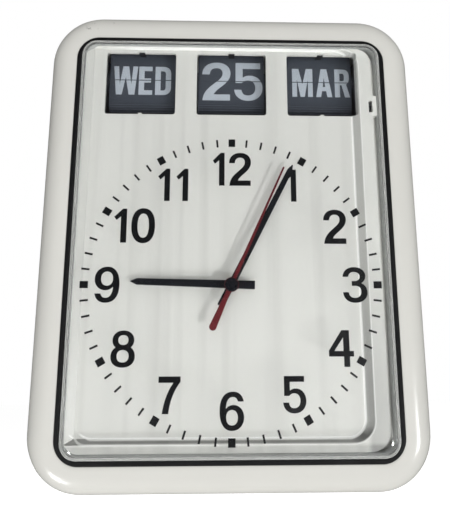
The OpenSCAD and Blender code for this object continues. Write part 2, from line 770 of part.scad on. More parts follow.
// T-shaped bar that the cam lifts, with a pawl beside each ratchet wheel
module push_bar() {
  pawl_x = -gear_x - ratchet_t;
  pawl_t = 1.6;
  slot_r = guide_r / 2 + seat_gap;
  reach = drum_level - ratchet_r - 0.4;
  color("silver") facing() union() {
    difference() {
      translate([cam_at[0] - bar_w / 2, bar_foot, bar_level]) cube([bar_w, bar_y - bar_foot + 1, bar_t]);
      for (y = guide_y) translate([cam_at[0], y, bar_level - 1]) linear_extrude(bar_t + 2) union() {
        translate([-slot_r, -bar_lift - 0.5]) square([2 * slot_r, bar_lift + 1]);
        circle(slot_r, $fn = small_fn);
        translate([0, -bar_lift - 0.5]) circle(slot_r, $fn = small_fn);
      }
    }
    translate([drum_x[0] + pawl_x, bar_y, bar_level]) cube([2 * unit_pitch + pawl_t, bar_w / 2, bar_t]);
    for (i = [0:2]) translate([drum_x[i] + pawl_x, 0, 0]) rotate([90, 0, 90]) linear_extrude(pawl_t) polygon([
      [bar_y, bar_level + bar_t], [bar_y, reach - 5], [split_height - 3, reach - 5],
      [split_height - 2, reach], [split_height - 6, reach], [split_height - 8, reach - 2],
      [bar_y + bar_w / 2, reach - 2], [bar_y + bar_w / 2, bar_level + bar_t]
    ]);
  }
}

// Frame of a calendar unit: window plate, two cheeks, two rear rails and the wheel's stub
module calendar_frame(i) {
  plate_h = frame_lower + 2 + frame_top;
  color("dimgray") facing() difference() {
    union() {
      translate([drum_x[i], split_height, 0]) {
        difference() {
          translate([0, frame_top - plate_h / 2, 0])
            rounded_box(2 * (cheek_x + cheek_t), plate_h, frame_corner, floor_back - plate_t, floor_back);
          translate([-flap_w / 2 - disc_gap - 0.1, 1 - frame_lower, floor_back - plate_t - 1])
            cube([flap_w + 2 * disc_gap + 0.2, frame_lower - 1 + flap_h + seat_gap, plate_t + 2]);
        }
        for (sx = [-1, 1], y = unit_screw_y)
          translate([sx * (cheek_x + cheek_t + ear_w / 2 - 0.5) - ear_w / 2 - 0.5, y - ear_h / 2, floor_back - plate_t])
            cube([ear_w + 1, ear_h, plate_t]);
        for (x = [-cheek_x - cheek_t, cheek_x]) translate([x, -frame_lower, frame_rear])
          cube([cheek_t, frame_lower + cheek_top, floor_back - plate_t - frame_rear + eps]);
        for (y = [-frame_lower, cheek_top - rail]) translate([-cheek_x - eps, y, frame_rear])
          cube([2 * cheek_x + 2 * eps, rail, rail_t]);
      }
      at_drum(i, set_axis_level) translate([0, 0, cheek_x + cheek_t - eps])
        cylinder(h = stub_end - cheek_x - cheek_t, r = axle_r, $fn = small_fn);
    }
    at_drum(i) translate([0, 0, -unit_w / 2]) cylinder(h = unit_w, r = axle_r + running_fit, $fn = small_fn);
    translate([drum_x[i], split_height, 0]) for (sx = [-1, 1], y = unit_screw_y)
      translate([sx * unit_screw_x, y, 0]) cylinder(h = through, r = unit_screw_r + 0.2, $fn = small_fn);
  }
}

// Drum of a calendar unit: axle, core, two notched discs, setting gear and ratchet wheel
module calendar_drum(i) {
  color("gray") facing() at_drum(i) union() {
    translate([0, 0, -gear_x - ratchet_t]) cylinder(h = 2 * gear_x + ratchet_t + gear_t, r = axle_r, $fn = small_fn);
    translate([0, 0, -disc_x - eps]) cylinder(h = 2 * (disc_x + eps), r = core_r);
    for (x = [-disc_x - disc_t, disc_x]) translate([0, 0, x]) toothed_disc(flap_count, disc_r, 0.8, 0.2, disc_t);
    translate([0, 0, gear_x]) gear(drum_teeth, gear_t);
    translate([0, 0, -gear_x - ratchet_t]) toothed_disc(flap_count, ratchet_r, 1.4, 0.45, ratchet_t);
  }
}

// One flap with its two pivot ears, standing on the hinge line
module flap(h = flap_h) {
  translate([-flap_w / 2, seat_gap, 0]) cube([flap_w, h - seat_gap, flap_t]);
}

// Flaps that aren't in view: hanging and standing stacks, and a fan behind the drum
module calendar_flap_pack(i) {
  step = 360 / flap_count;
  stacked = floor(90 / step);
  color("darkslategray") facing() translate([drum_x[i], split_height, drum_level]) {
    for (k = [1:stacked], s = [-1, 1]) {
      depth = max(k * (flap_t + pack_spacing), station_r * (1 - cos(k * step)));
      mirror([0, s < 0 ? 1 : 0, 0]) translate([0, station_r * sin(k * step), station_r - depth - flap_t]) flap();
    }
    for (k = [stacked + 1:flap_count - stacked - 1])
      rotate([90 - k * step, 0, 0]) translate([0, station_r - seat_gap, -flap_t / 2]) flap();
  }
}

module calendar_upper_flap(i) {
  color("darkslategray") facing() translate([drum_x[i], split_height, flap_level - flap_t - flap_play]) flap();
}

module calendar_lower_flap(i) {
  color("darkslategray") facing() translate([drum_x[i], split_height, flap_level - flap_t - flap_play])
    mirror([0, 1, 0]) flap();
}

// Spring finger above the standing flap
module calendar_clip(i) {
  tip = split_height + flap_h + seat_gap;
  seat = floor_back - plate_t;
  color("black") facing() translate([drum_x[i] - clip_w / 2, tip, 0]) union() {
    translate([0, 0, flap_level + 0.2]) cube([clip_w, clip_t, seat - flap_level - 0.2]);
    translate([0, 0, seat - clip_t]) cube([clip_w, 3 * clip_t, clip_t]);
  }
}

module calendar_set_wheel(i) {
  color("dimgray") facing() at_drum(i, set_axis_level) difference() {
    union() {
      translate([0, 0, gear_x]) gear(pinion_teeth, gear_t + 0.5, 180 / pinion_teeth * (1 - pinion_teeth % 2));
      translate([0, 0, set_wheel_x]) toothed_disc(48, set_wheel_r, 0.8, 0.1, set_wheel_t);
    }
    translate([0, 0, gear_x - 1]) cylinder(h = unit_w, r = axle_r + running_fit, $fn = small_fn);
  }
}

module at_unit_screws() {
  for (i = [0:2], sx = [-1, 1], y = unit_screw_y)
    translate([drum_x[i] + sx * unit_screw_x, split_height + y, 0]) children();
}

module unit_screws() {
  color("silver") facing() at_unit_screws() translate([0, 0, floor_back - plate_t - 1.2])
    screw(2, 1.2, unit_screw_r, 4);
}

module at_cells() {
  for (s = [-1, 1]) translate([s * (cell_r + 0.3), bay_y, door_t + cell_r + 0.5]) rotate(s > 0 ? 180 : 0)
    rotate([-90, 0, 0]) children();
}

// Two round cells side by side, the second upside down
module battery_cells() {
  color("steelblue") facing() at_cells() union() {
    translate([0, 0, -cell_len / 2]) cylinder(h = cell_len - 1.5, r = cell_r);
    translate([0, 0, cell_len / 2 - 1.5 - eps]) cylinder(h = 1.5, r = 4.5, $fn = small_fn);
  }
}

// Bellows-shaped stand-in for each coiled contact spring
module contact_springs() {
  free = (bay_h - cell_len) / 2 - 1;
  color("silver") facing() at_cells() translate([0, 0, -cell_len / 2 - free - 0.2]) rotate_extrude()
    polygon([
      [2, 0], [7, 0], [6, free * 0.25], [6.6, free * 0.5], [5, free * 0.75], [5.6, free - 0.1], [2, free - 0.1]
    ]);
}

module contact_plates() {
  color("silver") facing() at_cells() {
    for (z = [cell_len / 2 + 0.3, 0.05 - bay_h / 2])
      translate([-contact_w / 2, -contact_w / 2, z]) cube([contact_w, contact_w, contact_t]);
  }
}

// Lift-off door, flush with the back, with three finger ribs
module battery_cover() {
  w = bay_w + 2 * door_step - 2 * seat_gap;
  h = bay_h + 2 * door_step - 2 * seat_gap;
  color("ivory") facing() translate([0, bay_y, 0]) difference() {
    rounded_box(w, h, 3 - seat_gap, 0.3, door_t - 0.05);
    for (k = [-1:1]) translate([-12, h / 2 - 9 + 3 * k, -1]) cube([24, 1.4, 2]);
  }
}

module day_frame() { calendar_frame(0); }
module day_drum() { calendar_drum(0); }
module day_flap_pack() { calendar_flap_pack(0); }
module day_upper_flap() { calendar_upper_flap(0); }
module day_lower_flap() { calendar_lower_flap(0); }
module day_clip() { calendar_clip(0); }
module day_set_wheel() { calendar_set_wheel(0); }
module date_frame() { calendar_frame(1); }
module date_drum() { calendar_drum(1); }
module date_flap_pack() { calendar_flap_pack(1); }
module date_upper_flap() { calendar_upper_flap(1); }
module date_lower_flap() { calendar_lower_flap(1); }
module date_clip() { calendar_clip(1); }
module date_set_wheel() { calendar_set_wheel(1); }
module month_frame() { calendar_frame(2); }
module month_drum() { calendar_drum(2); }
module month_flap_pack() { calendar_flap_pack(2); }
module month_upper_flap() { calendar_upper_flap(2); }
module month_lower_flap() { calendar_lower_flap(2); }
module month_clip() { calendar_clip(2); }
module month_set_wheel() { calendar_set_wheel(2); }

front_case();
rear_cover();
crystal_gasket();
crystal();
dial_tray();
crystal_catch();
tray_screws();
cover_screws();
hanger_plate();
hanger_screws();
movement_housing();
movement_washer();
movement_nut();
hour_tube();
hour_hand();
minute_arbor();
minute_hand();
second_arbor();
second_hand();
time_knob();
midnight_cam();
push_bar();
day_frame();
day_drum();
day_flap_pack();
day_upper_flap();
day_lower_flap();
day_clip();
day_set_wheel();
date_frame();
date_drum();
date_flap_pack();
date_upper_flap();
date_lower_flap();
date_clip();
date_set_wheel();
month_frame();
month_drum();
month_flap_pack();
month_upper_flap();
month_lower_flap();
month_clip();
month_set_wheel();
unit_screws();
battery_cells();
contact_springs();
contact_plates();
battery_cover();
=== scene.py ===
"""Looks of the calendar wall clock, built round its construction model.

Sizes in the classes are millimetres from the wall: x runs to the right, y up and z from the
wall towards the viewer. Space.to_row turns them into the shared frame, which is in metres
with the viewer on the -Y side.
"""

import json
import logging
import math
import re
from contextlib import contextmanager
from dataclasses import dataclass, field
from enum import Enum
from itertools import chain
from typing import Any, Iterator, Optional, Sequence

import bmesh
import bpy
import numpy as np
from mathutils.geometry import tessellate_polygon
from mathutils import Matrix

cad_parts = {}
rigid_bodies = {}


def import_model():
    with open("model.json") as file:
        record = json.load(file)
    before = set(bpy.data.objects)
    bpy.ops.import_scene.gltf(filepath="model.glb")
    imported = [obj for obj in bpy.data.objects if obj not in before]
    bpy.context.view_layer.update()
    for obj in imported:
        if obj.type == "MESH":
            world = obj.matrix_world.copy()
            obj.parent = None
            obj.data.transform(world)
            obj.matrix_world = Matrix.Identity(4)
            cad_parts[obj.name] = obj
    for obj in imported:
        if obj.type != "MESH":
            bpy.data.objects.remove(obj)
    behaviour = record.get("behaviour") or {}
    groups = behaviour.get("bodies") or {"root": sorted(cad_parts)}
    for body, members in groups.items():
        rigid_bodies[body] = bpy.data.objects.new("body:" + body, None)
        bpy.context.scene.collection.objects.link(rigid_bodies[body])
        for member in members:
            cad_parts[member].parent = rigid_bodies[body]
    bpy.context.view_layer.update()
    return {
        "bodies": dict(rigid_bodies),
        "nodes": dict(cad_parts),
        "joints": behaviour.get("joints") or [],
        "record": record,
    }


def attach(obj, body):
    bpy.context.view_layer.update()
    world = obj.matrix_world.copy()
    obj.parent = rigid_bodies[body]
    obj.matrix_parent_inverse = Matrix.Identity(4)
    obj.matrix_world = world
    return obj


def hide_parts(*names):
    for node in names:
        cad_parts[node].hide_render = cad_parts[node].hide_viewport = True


LOG = logging.getLogger("clock")
PER_METRE = 1000.0
FULL_TURN = 360.0
MINUTES = 60
HOURS = 12

Triple = tuple[float, float, float]
Loop = np.ndarray
Faces = list[np.ndarray]
Solid = tuple[np.ndarray, Faces]
Socket = bpy.types.NodeSocket


def paint(red: int, green: int, blue: int) -> Triple:
    """Linear colour of a screen colour, by the piecewise sRGB curve.

    Args:
        red: Red from 0 to 255.
        green: Green from 0 to 255.
        blue: Blue from 0 to 255.

    Returns:
        Red, green and blue from 0 to 1.
    """
    screen = np.array([red, green, blue]) / 255.0
    low = screen / 12.92
    high = ((screen + 0.055) / 1.055) ** 2.4
    return tuple(np.where(screen <= 0.04045, low, high).tolist())


def dimmed(colour: Triple, factor: float) -> Triple:
    """Colour times a factor."""
    return tuple(v * factor for v in colour)


class Space:
    """Places that several classes share, and the step to the shared frame.

    SPLIT and FLAP are the height and the level of the flaps' hinge line, DIAL is the height of
    the dial's centre and UNITS holds the middle of each calendar unit.
    """

    SPLIT = 141.0
    FLAP = 61.5
    DIAL = -39.5
    UNITS = {"day": -79.5, "date": 0.0, "month": 79.5}

    @staticmethod
    def to_row(points: np.ndarray) -> np.ndarray:
        """Points (x, y, z) in clock millimetres as (x, -z, y) in metres."""
        return np.stack([points[..., 0], -points[..., 2], points[..., 1]], axis=-1) / PER_METRE

    @classmethod
    def on_dial(cls, points: np.ndarray, degrees: np.ndarray) -> np.ndarray:
        """Copies of points, turned round the dial's centre.

        For an angle a the point (x, y, z) goes to (x cos a - y sin a, x sin a + y cos a + DIAL, z).

        Args:
            points: Points round the origin.
            degrees: Angles, anticlockwise.

        Returns:
            One copy after the other, in the order of the angles.
        """
        turn = np.radians(degrees)[:, None]
        x, y, z = points.T
        return np.stack([x * np.cos(turn) - y * np.sin(turn),
                         x * np.sin(turn) + y * np.cos(turn) + cls.DIAL,
                         np.broadcast_to(z, (len(degrees), len(z)))], axis=-1).reshape(-1, 3)


@dataclass(frozen=True)
class Outline:
    """Rectangle with rounded corners, in millimetres."""

    left: float
    right: float
    bottom: float
    top: float
    radius: float

    STEPS = 16
    LEAST_RADIUS = 0.05

    @staticmethod
    def centred(width: float, height: float, radius: float) -> "Outline":
        """Outline round the centre of the case."""
        return Outline(-width / 2, width / 2, -height / 2, height / 2, radius)

    def inset(self, depth: float) -> "Outline":
        """Outline that lies depth inside this one; its corners keep their centres."""
        return Outline(self.left + depth, self.right - depth, self.bottom + depth, self.top - depth,
                       max(self.radius - depth, self.LEAST_RADIUS))

    def ring(self, level: float) -> np.ndarray:
        """Points round the outline at one level.

        Four quarter circles from 0 to 360 degrees, one round each corner centre, joined by
        straight lines, which gives the same count of points for any size.

        Args:
            level: Distance from the wall.

        Returns:
            The points, anticlockwise.
        """
        r = self.radius
        corners = [(self.right - r, self.top - r), (self.left + r, self.top - r),
                   (self.left + r, self.bottom + r), (self.right - r, self.bottom + r)]
        turn = np.linspace(0.0, FULL_TURN / 4, self.STEPS + 1)
        angle = np.radians(turn[None, :] + FULL_TURN / 4 * np.arange(4)[:, None])
        flat = np.array(corners)[:, None, :] + r * np.stack([np.cos(angle), np.sin(angle)], axis=-1)
        flat = flat.reshape(-1, 2)
        return np.column_stack([flat, np.full(len(flat), level)])


class Slot(Enum):
    """Material slots of the record."""

    CASE = "case_plastic"
    TRAY = "tray_plastic"
    SEAL = "seal_rubber"
    CLEAR = "clear_plastic"
    BLACK = "black_plastic"
    STEEL = "steel"
    BRASS = "brass"
    MOVEMENT = "movement_plastic"
    HAND = "hand_black"
    HAND_RED = "hand_red"
    FLAP = "flap_film"
    GEAR = "gear_plastic"
    CELL = "cell_jacket"


class Nodes:
    """Node tree with short calls for its nodes."""

    def __init__(self, tree: bpy.types.NodeTree) -> None:
        """Takes a tree over and empties it."""
        self.tree = tree
        tree.nodes.clear()

    def node(self, kind: str, values: Optional[dict[Any, Any]] = None,
             **settings: Any) -> bpy.types.Node:
        """Adds a node.

        Args:
            kind: Blender's name of the node type.
            values: Input name or number to a constant or an output socket.
            settings: Attributes of the node itself.

        Returns:
            The node.
        """
        made = self.tree.nodes.new(kind)
        for key, value in settings.items():
            setattr(made, key, value)
        for key, value in (values or {}).items():
            if isinstance(value, Socket):
                self.tree.links.new(value, made.inputs[key])
            else:
                made.inputs[key].default_value = value
        return made

    def math(self, operation: str, *values: Any) -> Socket:
        """Result of a math node over sockets and numbers."""
        return self.node("ShaderNodeMath", dict(enumerate(values)),
                         operation=operation).outputs["Value"]

    def times(self, first: Socket, second: Any) -> Socket:
        """Product of a socket and a socket or a number."""
        return self.math("MULTIPLY", first, second)


@dataclass(frozen=True)
class Pattern:
    """Noise over an object: waves per metre, octaves, and the values that count as 0 and 1."""

    scale: float
    detail: float
    low: float
    high: float


class Graph(Nodes):
    """Node tree of one material.

    A colour mix takes its colours at inputs MIX_FIRST and MIX_SECOND and gives its result at
    output MIX_RESULT.
    """

    MIX_FIRST = 6
    MIX_SECOND = 7
    MIX_RESULT = 2

    def __init__(self, name: str) -> None:
        """Starts an empty tree with its output and the object coordinates.

        Args:
            name: Name of the material.
        """
        self.material = bpy.data.materials.new(name)
        self.material.use_nodes = True
        super().__init__(self.material.node_tree)
        self.output = self.node("ShaderNodeOutputMaterial")
        self.coordinates = self.node("ShaderNodeTexCoord")
        self.place = self.coordinates.outputs["Object"]

    def noise(self, scale: float, detail: float = 3.0, stretch: Triple = (1.0, 1.0, 1.0)) -> Socket:
        """Noise over the object.

        Args:
            scale: Waves per metre.
            detail: Octaves.
            stretch: Factor on each axis before the noise.

        Returns:
            The factor socket.
        """
        place = self.node("ShaderNodeMapping", {"Vector": self.place, "Scale": stretch})
        return self.node("ShaderNodeTexNoise", {
            "Vector": place.outputs["Vector"], "Scale": scale, "Detail": detail}).outputs["Fac"]

    def ramp(self, value: Socket, low: float, high: float, to_low: float, to_high: float) -> Socket:
        """Maps low..high to to_low..to_high, held at both ends."""
        return self.node("ShaderNodeMapRange", {
            "Value": value, "From Min": low, "From Max": high,
            "To Min": to_low, "To Max": to_high}).outputs["Result"]

    def pattern(self, kind: Pattern, to_low: float = 0.0, to_high: float = 1.0) -> Socket:
        """Maps the noise of a pattern to to_low..to_high."""
        return self.ramp(self.noise(kind.scale, kind.detail), kind.low, kind.high, to_low, to_high)

    def blend(self, amount: Socket, first: Any, second: Any) -> Socket:
        """Colour between first and second.

        Args:
            amount: Factor socket.
            first: Colour or socket at 0.
            second: Colour or socket at 1.

        Returns:
            The colour socket.
        """
        ends = [v if isinstance(v, Socket) else (*v, 1.0) for v in (first, second)]
        mix = self.node("ShaderNodeMix", {
            "Factor": amount, self.MIX_FIRST: ends[0], self.MIX_SECOND: ends[1]}, data_type="RGBA")
        return mix.outputs[self.MIX_RESULT]

    def near(self, centre: Triple, reach: float) -> Socket:
        """1 at a point of the object, falling to 0 at a distance of reach.

        Args:
            centre: The point in clock millimetres.
            reach: Distance in millimetres.

        Returns:
            The factor socket.
        """
        spot = tuple(Space.to_row(np.array(centre)))
        away = self.node("ShaderNodeVectorMath", {0: self.place, 1: spot}, operation="DISTANCE")
        return self.ramp(away.outputs["Value"], 0.0, reach / PER_METRE, 1.0, 0.0)

    def axes(self, name: str) -> list[Socket]:
        """X, Y and Z sockets of one output of the coordinates."""
        return list(self.node("ShaderNodeSeparateXYZ", {0: self.coordinates.outputs[name]}).outputs)

    def from_outline(self, outline: Outline) -> Socket:
        """Distance from a rounded rectangle seen from the front, below zero inside it.

        With q = |p - centre| - (half size - radius), the distance is
        length(max(q, 0)) + min(max(qx, qz), 0) - radius.

        Args:
            outline: The rectangle.

        Returns:
            The distance in millimetres.
        """
        x, _, height = self.axes("Object")
        radius = outline.radius
        reach = []
        for place, low, high in ((x, outline.left, outline.right),
                                 (height, outline.bottom, outline.top)):
            off = self.math("MULTIPLY_ADD", place, PER_METRE, -(low + high) / 2)
            off = self.math("ABSOLUTE", off)
            reach.append(self.math("SUBTRACT", off, (high - low) / 2 - radius))
        across, up = (self.math("MAXIMUM", q, 0.0) for q in reach)
        outer = self.math("SQRT", self.math("MULTIPLY_ADD", across, across, self.times(up, up)))
        inner = self.math("MINIMUM", self.math("MAXIMUM", *reach), 0.0)
        return self.math("SUBTRACT", self.math("ADD", outer, inner), radius)

    def bump(self, height: Socket, depth: float) -> Socket:
        """Normal of a height pattern that is depth millimetres deep."""
        return self.node("ShaderNodeBump", {
            "Height": height, "Distance": depth / PER_METRE, "Strength": 1.0}).outputs["Normal"]

    def close(self, shader: bpy.types.Node) -> bpy.types.Material:
        """Links the shader to the output and returns the material."""
        self.tree.links.new(shader.outputs[0], self.output.inputs["Surface"])
        return self.material


@dataclass(frozen=True)
class Moulded:
    """Moulded or painted plastic: fine grain, slight patches, dust specks and optional rubs.

    The roughness wanders between both WEAR_SPREAD shares of its value. A rub is at its full
    RUB_STRENGTH up to RUB_FADE of the way from its middle to its edge.
    """

    name: str
    colour: Triple
    roughness: float
    patch: float = 0.03
    grain: float = 0.004
    grain_scale: float = 1400.0
    specks: Optional[Triple] = None
    scuffs: tuple[tuple[Triple, float], ...] = ()

    PATCHES = Pattern(9.0, 3.0, 0.35, 0.65)
    SPECKS = Pattern(900.0, 2.0, 0.74, 0.78)
    RUBS = Pattern(260.0, 4.0, 0.58, 0.64)
    RUB_STRENGTH = 0.8
    RUB_FADE = 0.4
    RUB_COLOUR = paint(120, 118, 112)
    WEAR = Pattern(60.0, 4.0, 0.3, 0.7)
    WEAR_SPREAD = (0.85, 1.15)
    GRAIN_DETAIL = 2.0

    def shaded(self, graph: Graph, colour: Socket) -> Socket:
        """Colour with the shading of the kind of part; none here."""
        return colour

    def material(self) -> bpy.types.Material:
        """Builds the node tree of this finish.

        Returns:
            The material.
        """
        graph = Graph(self.name)
        darker = dimmed(self.colour, 1.0 - self.patch)
        colour = graph.blend(graph.pattern(self.PATCHES), self.colour, darker)
        if self.specks:
            colour = graph.blend(graph.pattern(self.SPECKS), colour, self.specks)
        colour = self.shaded(graph, colour)
        for centre, reach in self.scuffs:
            spot = graph.ramp(graph.near(centre, reach), 0.0, 1.0 - self.RUB_FADE, 0.0, 1.0)
            mark = graph.times(spot, graph.pattern(self.RUBS, 0.0, self.RUB_STRENGTH))
            colour = graph.blend(mark, colour, self.RUB_COLOUR)
        smooth, dull = self.WEAR_SPREAD
        rough = graph.pattern(self.WEAR, self.roughness * smooth, self.roughness * dull)
        normal = graph.bump(graph.noise(self.grain_scale, self.GRAIN_DETAIL), self.grain)
        return graph.close(graph.node("ShaderNodeBsdfPrincipled", {
            "Base Color": colour, "Roughness": rough, "Normal": normal}))


@dataclass(frozen=True)
class Stepped(Moulded):
    """Plastic of the tray, with painted light in its colour: painted shade on steps by the way
    they face, on the right ledge towards its lower end and on the bottom ledge, stripes of
    painted reflection, and painted highlights along the rims.

    The painted highlight line along an outline is a half width in millimetres, of which the
    share CORE has full strength, and that strength. Most constants are ramps: two values of a
    normal or of a place in metres, and the amount at each.
    """

    floor: Outline = Outline(-120.5, 105.3, -156.15, 166.05, 14.0)
    floor_highlight: tuple[float, float] = (1.1, 1.0)
    ledge: Outline = Outline(-127.4, 111.3, -158.75, 167.05, 17.0)
    ledge_highlight: tuple[float, float] = (0.7, 0.6)
    # rim is the colour of the painted highlights along the rims of the floor and the ledge.
    rim: Triple = paint(253, 253, 250)
    # shade is the colour that the painted shade darkens the tray towards.
    shade: Triple = (0.03, 0.03, 0.03)

    CORE = 0.4
    # Painted shade: ramps for faces that look up, left or right, for the right ledge lower down,
    # and for the bottom ledge.
    SHADE_UPWARD = (0.2, 0.55, 0.0, 0.6)
    SHADE_LEFTWARD = (-0.5, -0.2, 0.2, 0.0)
    SHADE_RIGHTWARD = (0.2, 0.5, 0.0, 0.22)
    SHADE_RIGHT_LEDGE = (0.104, 0.108, 0.0, 0.3)
    SHADE_LEDGE_HEIGHT = (-0.13, 0.0, 1.0, 0.0)
    SHADE_FOOT = (-0.161, -0.158, 0.3, 0.0)
    # Faint vertical stripes of painted reflection.
    REFLECTION_STREAKS = (0.5, 0.75, 0.0, 0.1)
    REFLECTION_STREAK_NOISE = (90.0, 2.0, (1.0, 1.0, 0.02))
    # Where the painted highlights along the rims show: the right side and the bottom.
    HIGHLIGHT_RIGHT = (-0.12, -0.08, 0.0, 1.0)
    HIGHLIGHT_FOOT = (-0.154, -0.151, 1.0, 0.0)

    def shaded(self, graph: Graph, colour: Socket) -> Socket:
        """Paints shade by the way a face looks, then paints highlights along the two outlines.

        Args:
            graph: Tree of the material.
            colour: Colour so far.

        Returns:
            The shaded colour.
        """
        side, _, up = graph.axes("Normal")
        place, _, height = graph.axes("Object")
        # away sums the painted shade by facing and by place.
        away = graph.ramp(up, *self.SHADE_UPWARD)
        shade_low_right = graph.times(graph.ramp(place, *self.SHADE_RIGHT_LEDGE),
                                graph.ramp(height, *self.SHADE_LEDGE_HEIGHT))
        # Stretched noise paints faint vertical stripes of reflection into the colour.
        reflection_streaks = graph.ramp(graph.noise(*self.REFLECTION_STREAK_NOISE), *self.REFLECTION_STREAKS)
        for more in (graph.ramp(side, *self.SHADE_LEFTWARD), graph.ramp(side, *self.SHADE_RIGHTWARD),
                     shade_low_right, graph.ramp(height, *self.SHADE_FOOT), reflection_streaks):
            away = graph.math("ADD", away, more)
        # The painted shade and the painted reflection stripes darken the colour here.
        colour = graph.blend(away, colour, self.shade)
        # Painted highlights: lit keeps them to the right side and the bottom, then a line is
        # painted along each outline.
        lit = graph.math("MAXIMUM", graph.ramp(place, *self.HIGHLIGHT_RIGHT),
                         graph.ramp(height, *self.HIGHLIGHT_FOOT))
        for outline, (half, strength) in ((self.floor, self.floor_highlight),
                                          (self.ledge, self.ledge_highlight)):
            off = graph.math("ABSOLUTE", graph.from_outline(outline))
            line = graph.times(graph.ramp(off, half * self.CORE, half, strength, 0.0), lit)
            colour = graph.blend(line, colour, self.rim)
        return colour


@dataclass(frozen=True)
class Layered(Moulded):
    """Film of the flaps: below the lower flaps the edges of the waiting ones are painted as fine
    lines, with painted shade between them and painted highlights on them.

    The foot of the lower flaps and the fade are in metres, the pitch is in millimetres. GAPS, for
    the painted shade, and LINES, for the painted highlights, are ramps over the distance from an
    edge in millimetres.
    """

    foot: float = 0.119
    fade: float = 0.0004
    pitch: float = 1.9
    # The first colour is painted shade between the flap edges, the one after it the painted
    # highlight on them.
    gap_shade: Triple = paint(30, 32, 38)
    pale: Triple = paint(104, 108, 118)

    GAPS = (0.3, 0.9, 0.0, 0.35)
    LINES = (0.1, 0.4, 1.0, 0.0)
    HIGHLIGHT_STRENGTH = 0.5

    def shaded(self, graph: Graph, colour: Socket) -> Socket:
        """Paints shade between the edges and a highlight line at every pitch of height under the
        foot of the lower flaps.

        Args:
            graph: Tree of the material.
            colour: Colour so far.

        Returns:
            The lined colour.
        """
        height = graph.axes("Object")[2]
        wave = graph.math("PINGPONG", graph.times(height, PER_METRE), self.pitch / 2)
        below = graph.ramp(height, self.foot - self.fade, self.foot, 1.0, 0.0)
        # Painted shade between the edges and painted highlight lines on them.
        shade_between_edges = graph.times(graph.ramp(wave, *self.GAPS), below)
        lines = graph.times(graph.times(graph.ramp(wave, *self.LINES), below), self.HIGHLIGHT_STRENGTH)
        return graph.blend(lines, graph.blend(shade_between_edges, colour, self.gap_shade), self.pale)


@dataclass(frozen=True)
class Metal:
    """Rolled or turned metal with fine lines along one axis."""

    name: str
    colour: Triple
    roughness: float = 0.32
    stretch: Triple = (1.0, 1.0, 0.03)

    TONES = Pattern(120.0, 3.0, 0.3, 0.7)
    TONE_SHARE = 0.86
    LINES = Pattern(5200.0, 2.0, 0.3, 0.7)
    LINE_DEPTH = 0.003
    ROUGH_SPREAD = (0.8, 1.25)
    METALLIC = 0.75

    def material(self) -> bpy.types.Material:
        """Builds the node tree of this finish.

        Returns:
            The material.
        """
        graph = Graph(self.name)
        lines = graph.noise(self.LINES.scale, self.LINES.detail, self.stretch)
        darker = dimmed(self.colour, self.TONE_SHARE)
        smooth, dull = self.ROUGH_SPREAD
        return graph.close(graph.node("ShaderNodeBsdfPrincipled", {
            "Base Color": graph.blend(graph.pattern(self.TONES), self.colour, darker),
            "Roughness": graph.ramp(lines, self.LINES.low, self.LINES.high,
                                    self.roughness * smooth, self.roughness * dull),
            "Metallic": self.METALLIC, "Normal": graph.bump(lines, self.LINE_DEPTH)}))


@dataclass(frozen=True)
class Clear:
    """Clear acrylic that lets light through to what lies behind it.

    The haze of the coat wanders between both HAZE_SPREAD shares of its value. The pale mist of
    the edges fades as the object's normal turns to the front, by FACING.
    """

    name: str
    haze: float = 0.06
    coat: float = 0.25
    edge_mist: float = 0.5
    ior: float = 1.49
    tint: Triple = paint(252, 253, 253)
    mist: Triple = paint(214, 216, 214)
    through: Triple = (0.97, 0.97, 0.97)

    HAZES = Pattern(30.0, 4.0, 0.35, 0.7)
    HAZE_SPREAD = (0.6, 1.6)
    FACING = (0.3, 0.9)

    def material(self) -> bpy.types.Material:
        """Builds glass for the eye and plain transparency for shadow rays.

        Returns:
            The material.
        """
        graph = Graph(self.name)
        even, milky = self.HAZE_SPREAD
        glass = graph.node("ShaderNodeBsdfPrincipled", {
            "Base Color": (*self.tint, 1.0), "Roughness": 0.0, "IOR": self.ior,
            "Coat Weight": self.coat,
            "Coat Roughness": graph.pattern(self.HAZES, self.haze * even, self.haze * milky),
            "Transmission Weight": 1.0})
        front = graph.math("ABSOLUTE", graph.axes("Normal")[1])
        pale = graph.node("ShaderNodeBsdfDiffuse", {"Color": (*self.mist, 1.0)})
        edge = graph.node("ShaderNodeMixShader", {
            0: graph.ramp(front, *self.FACING, self.edge_mist, 0.0),
            1: glass.outputs[0], 2: pale.outputs[0]})
        plain = graph.node("ShaderNodeBsdfTransparent", {"Color": (*self.through, 1.0)})
        return graph.close(graph.node("ShaderNodeMixShader", {
            0: graph.node("ShaderNodeLightPath").outputs["Is Shadow Ray"],
            1: edge.outputs[0], 2: plain.outputs[0]}))


@dataclass(frozen=True)
class Coat:
    """A material that is made, and the record's slot that it stands for."""

    material: bpy.types.Material
    slot: Slot


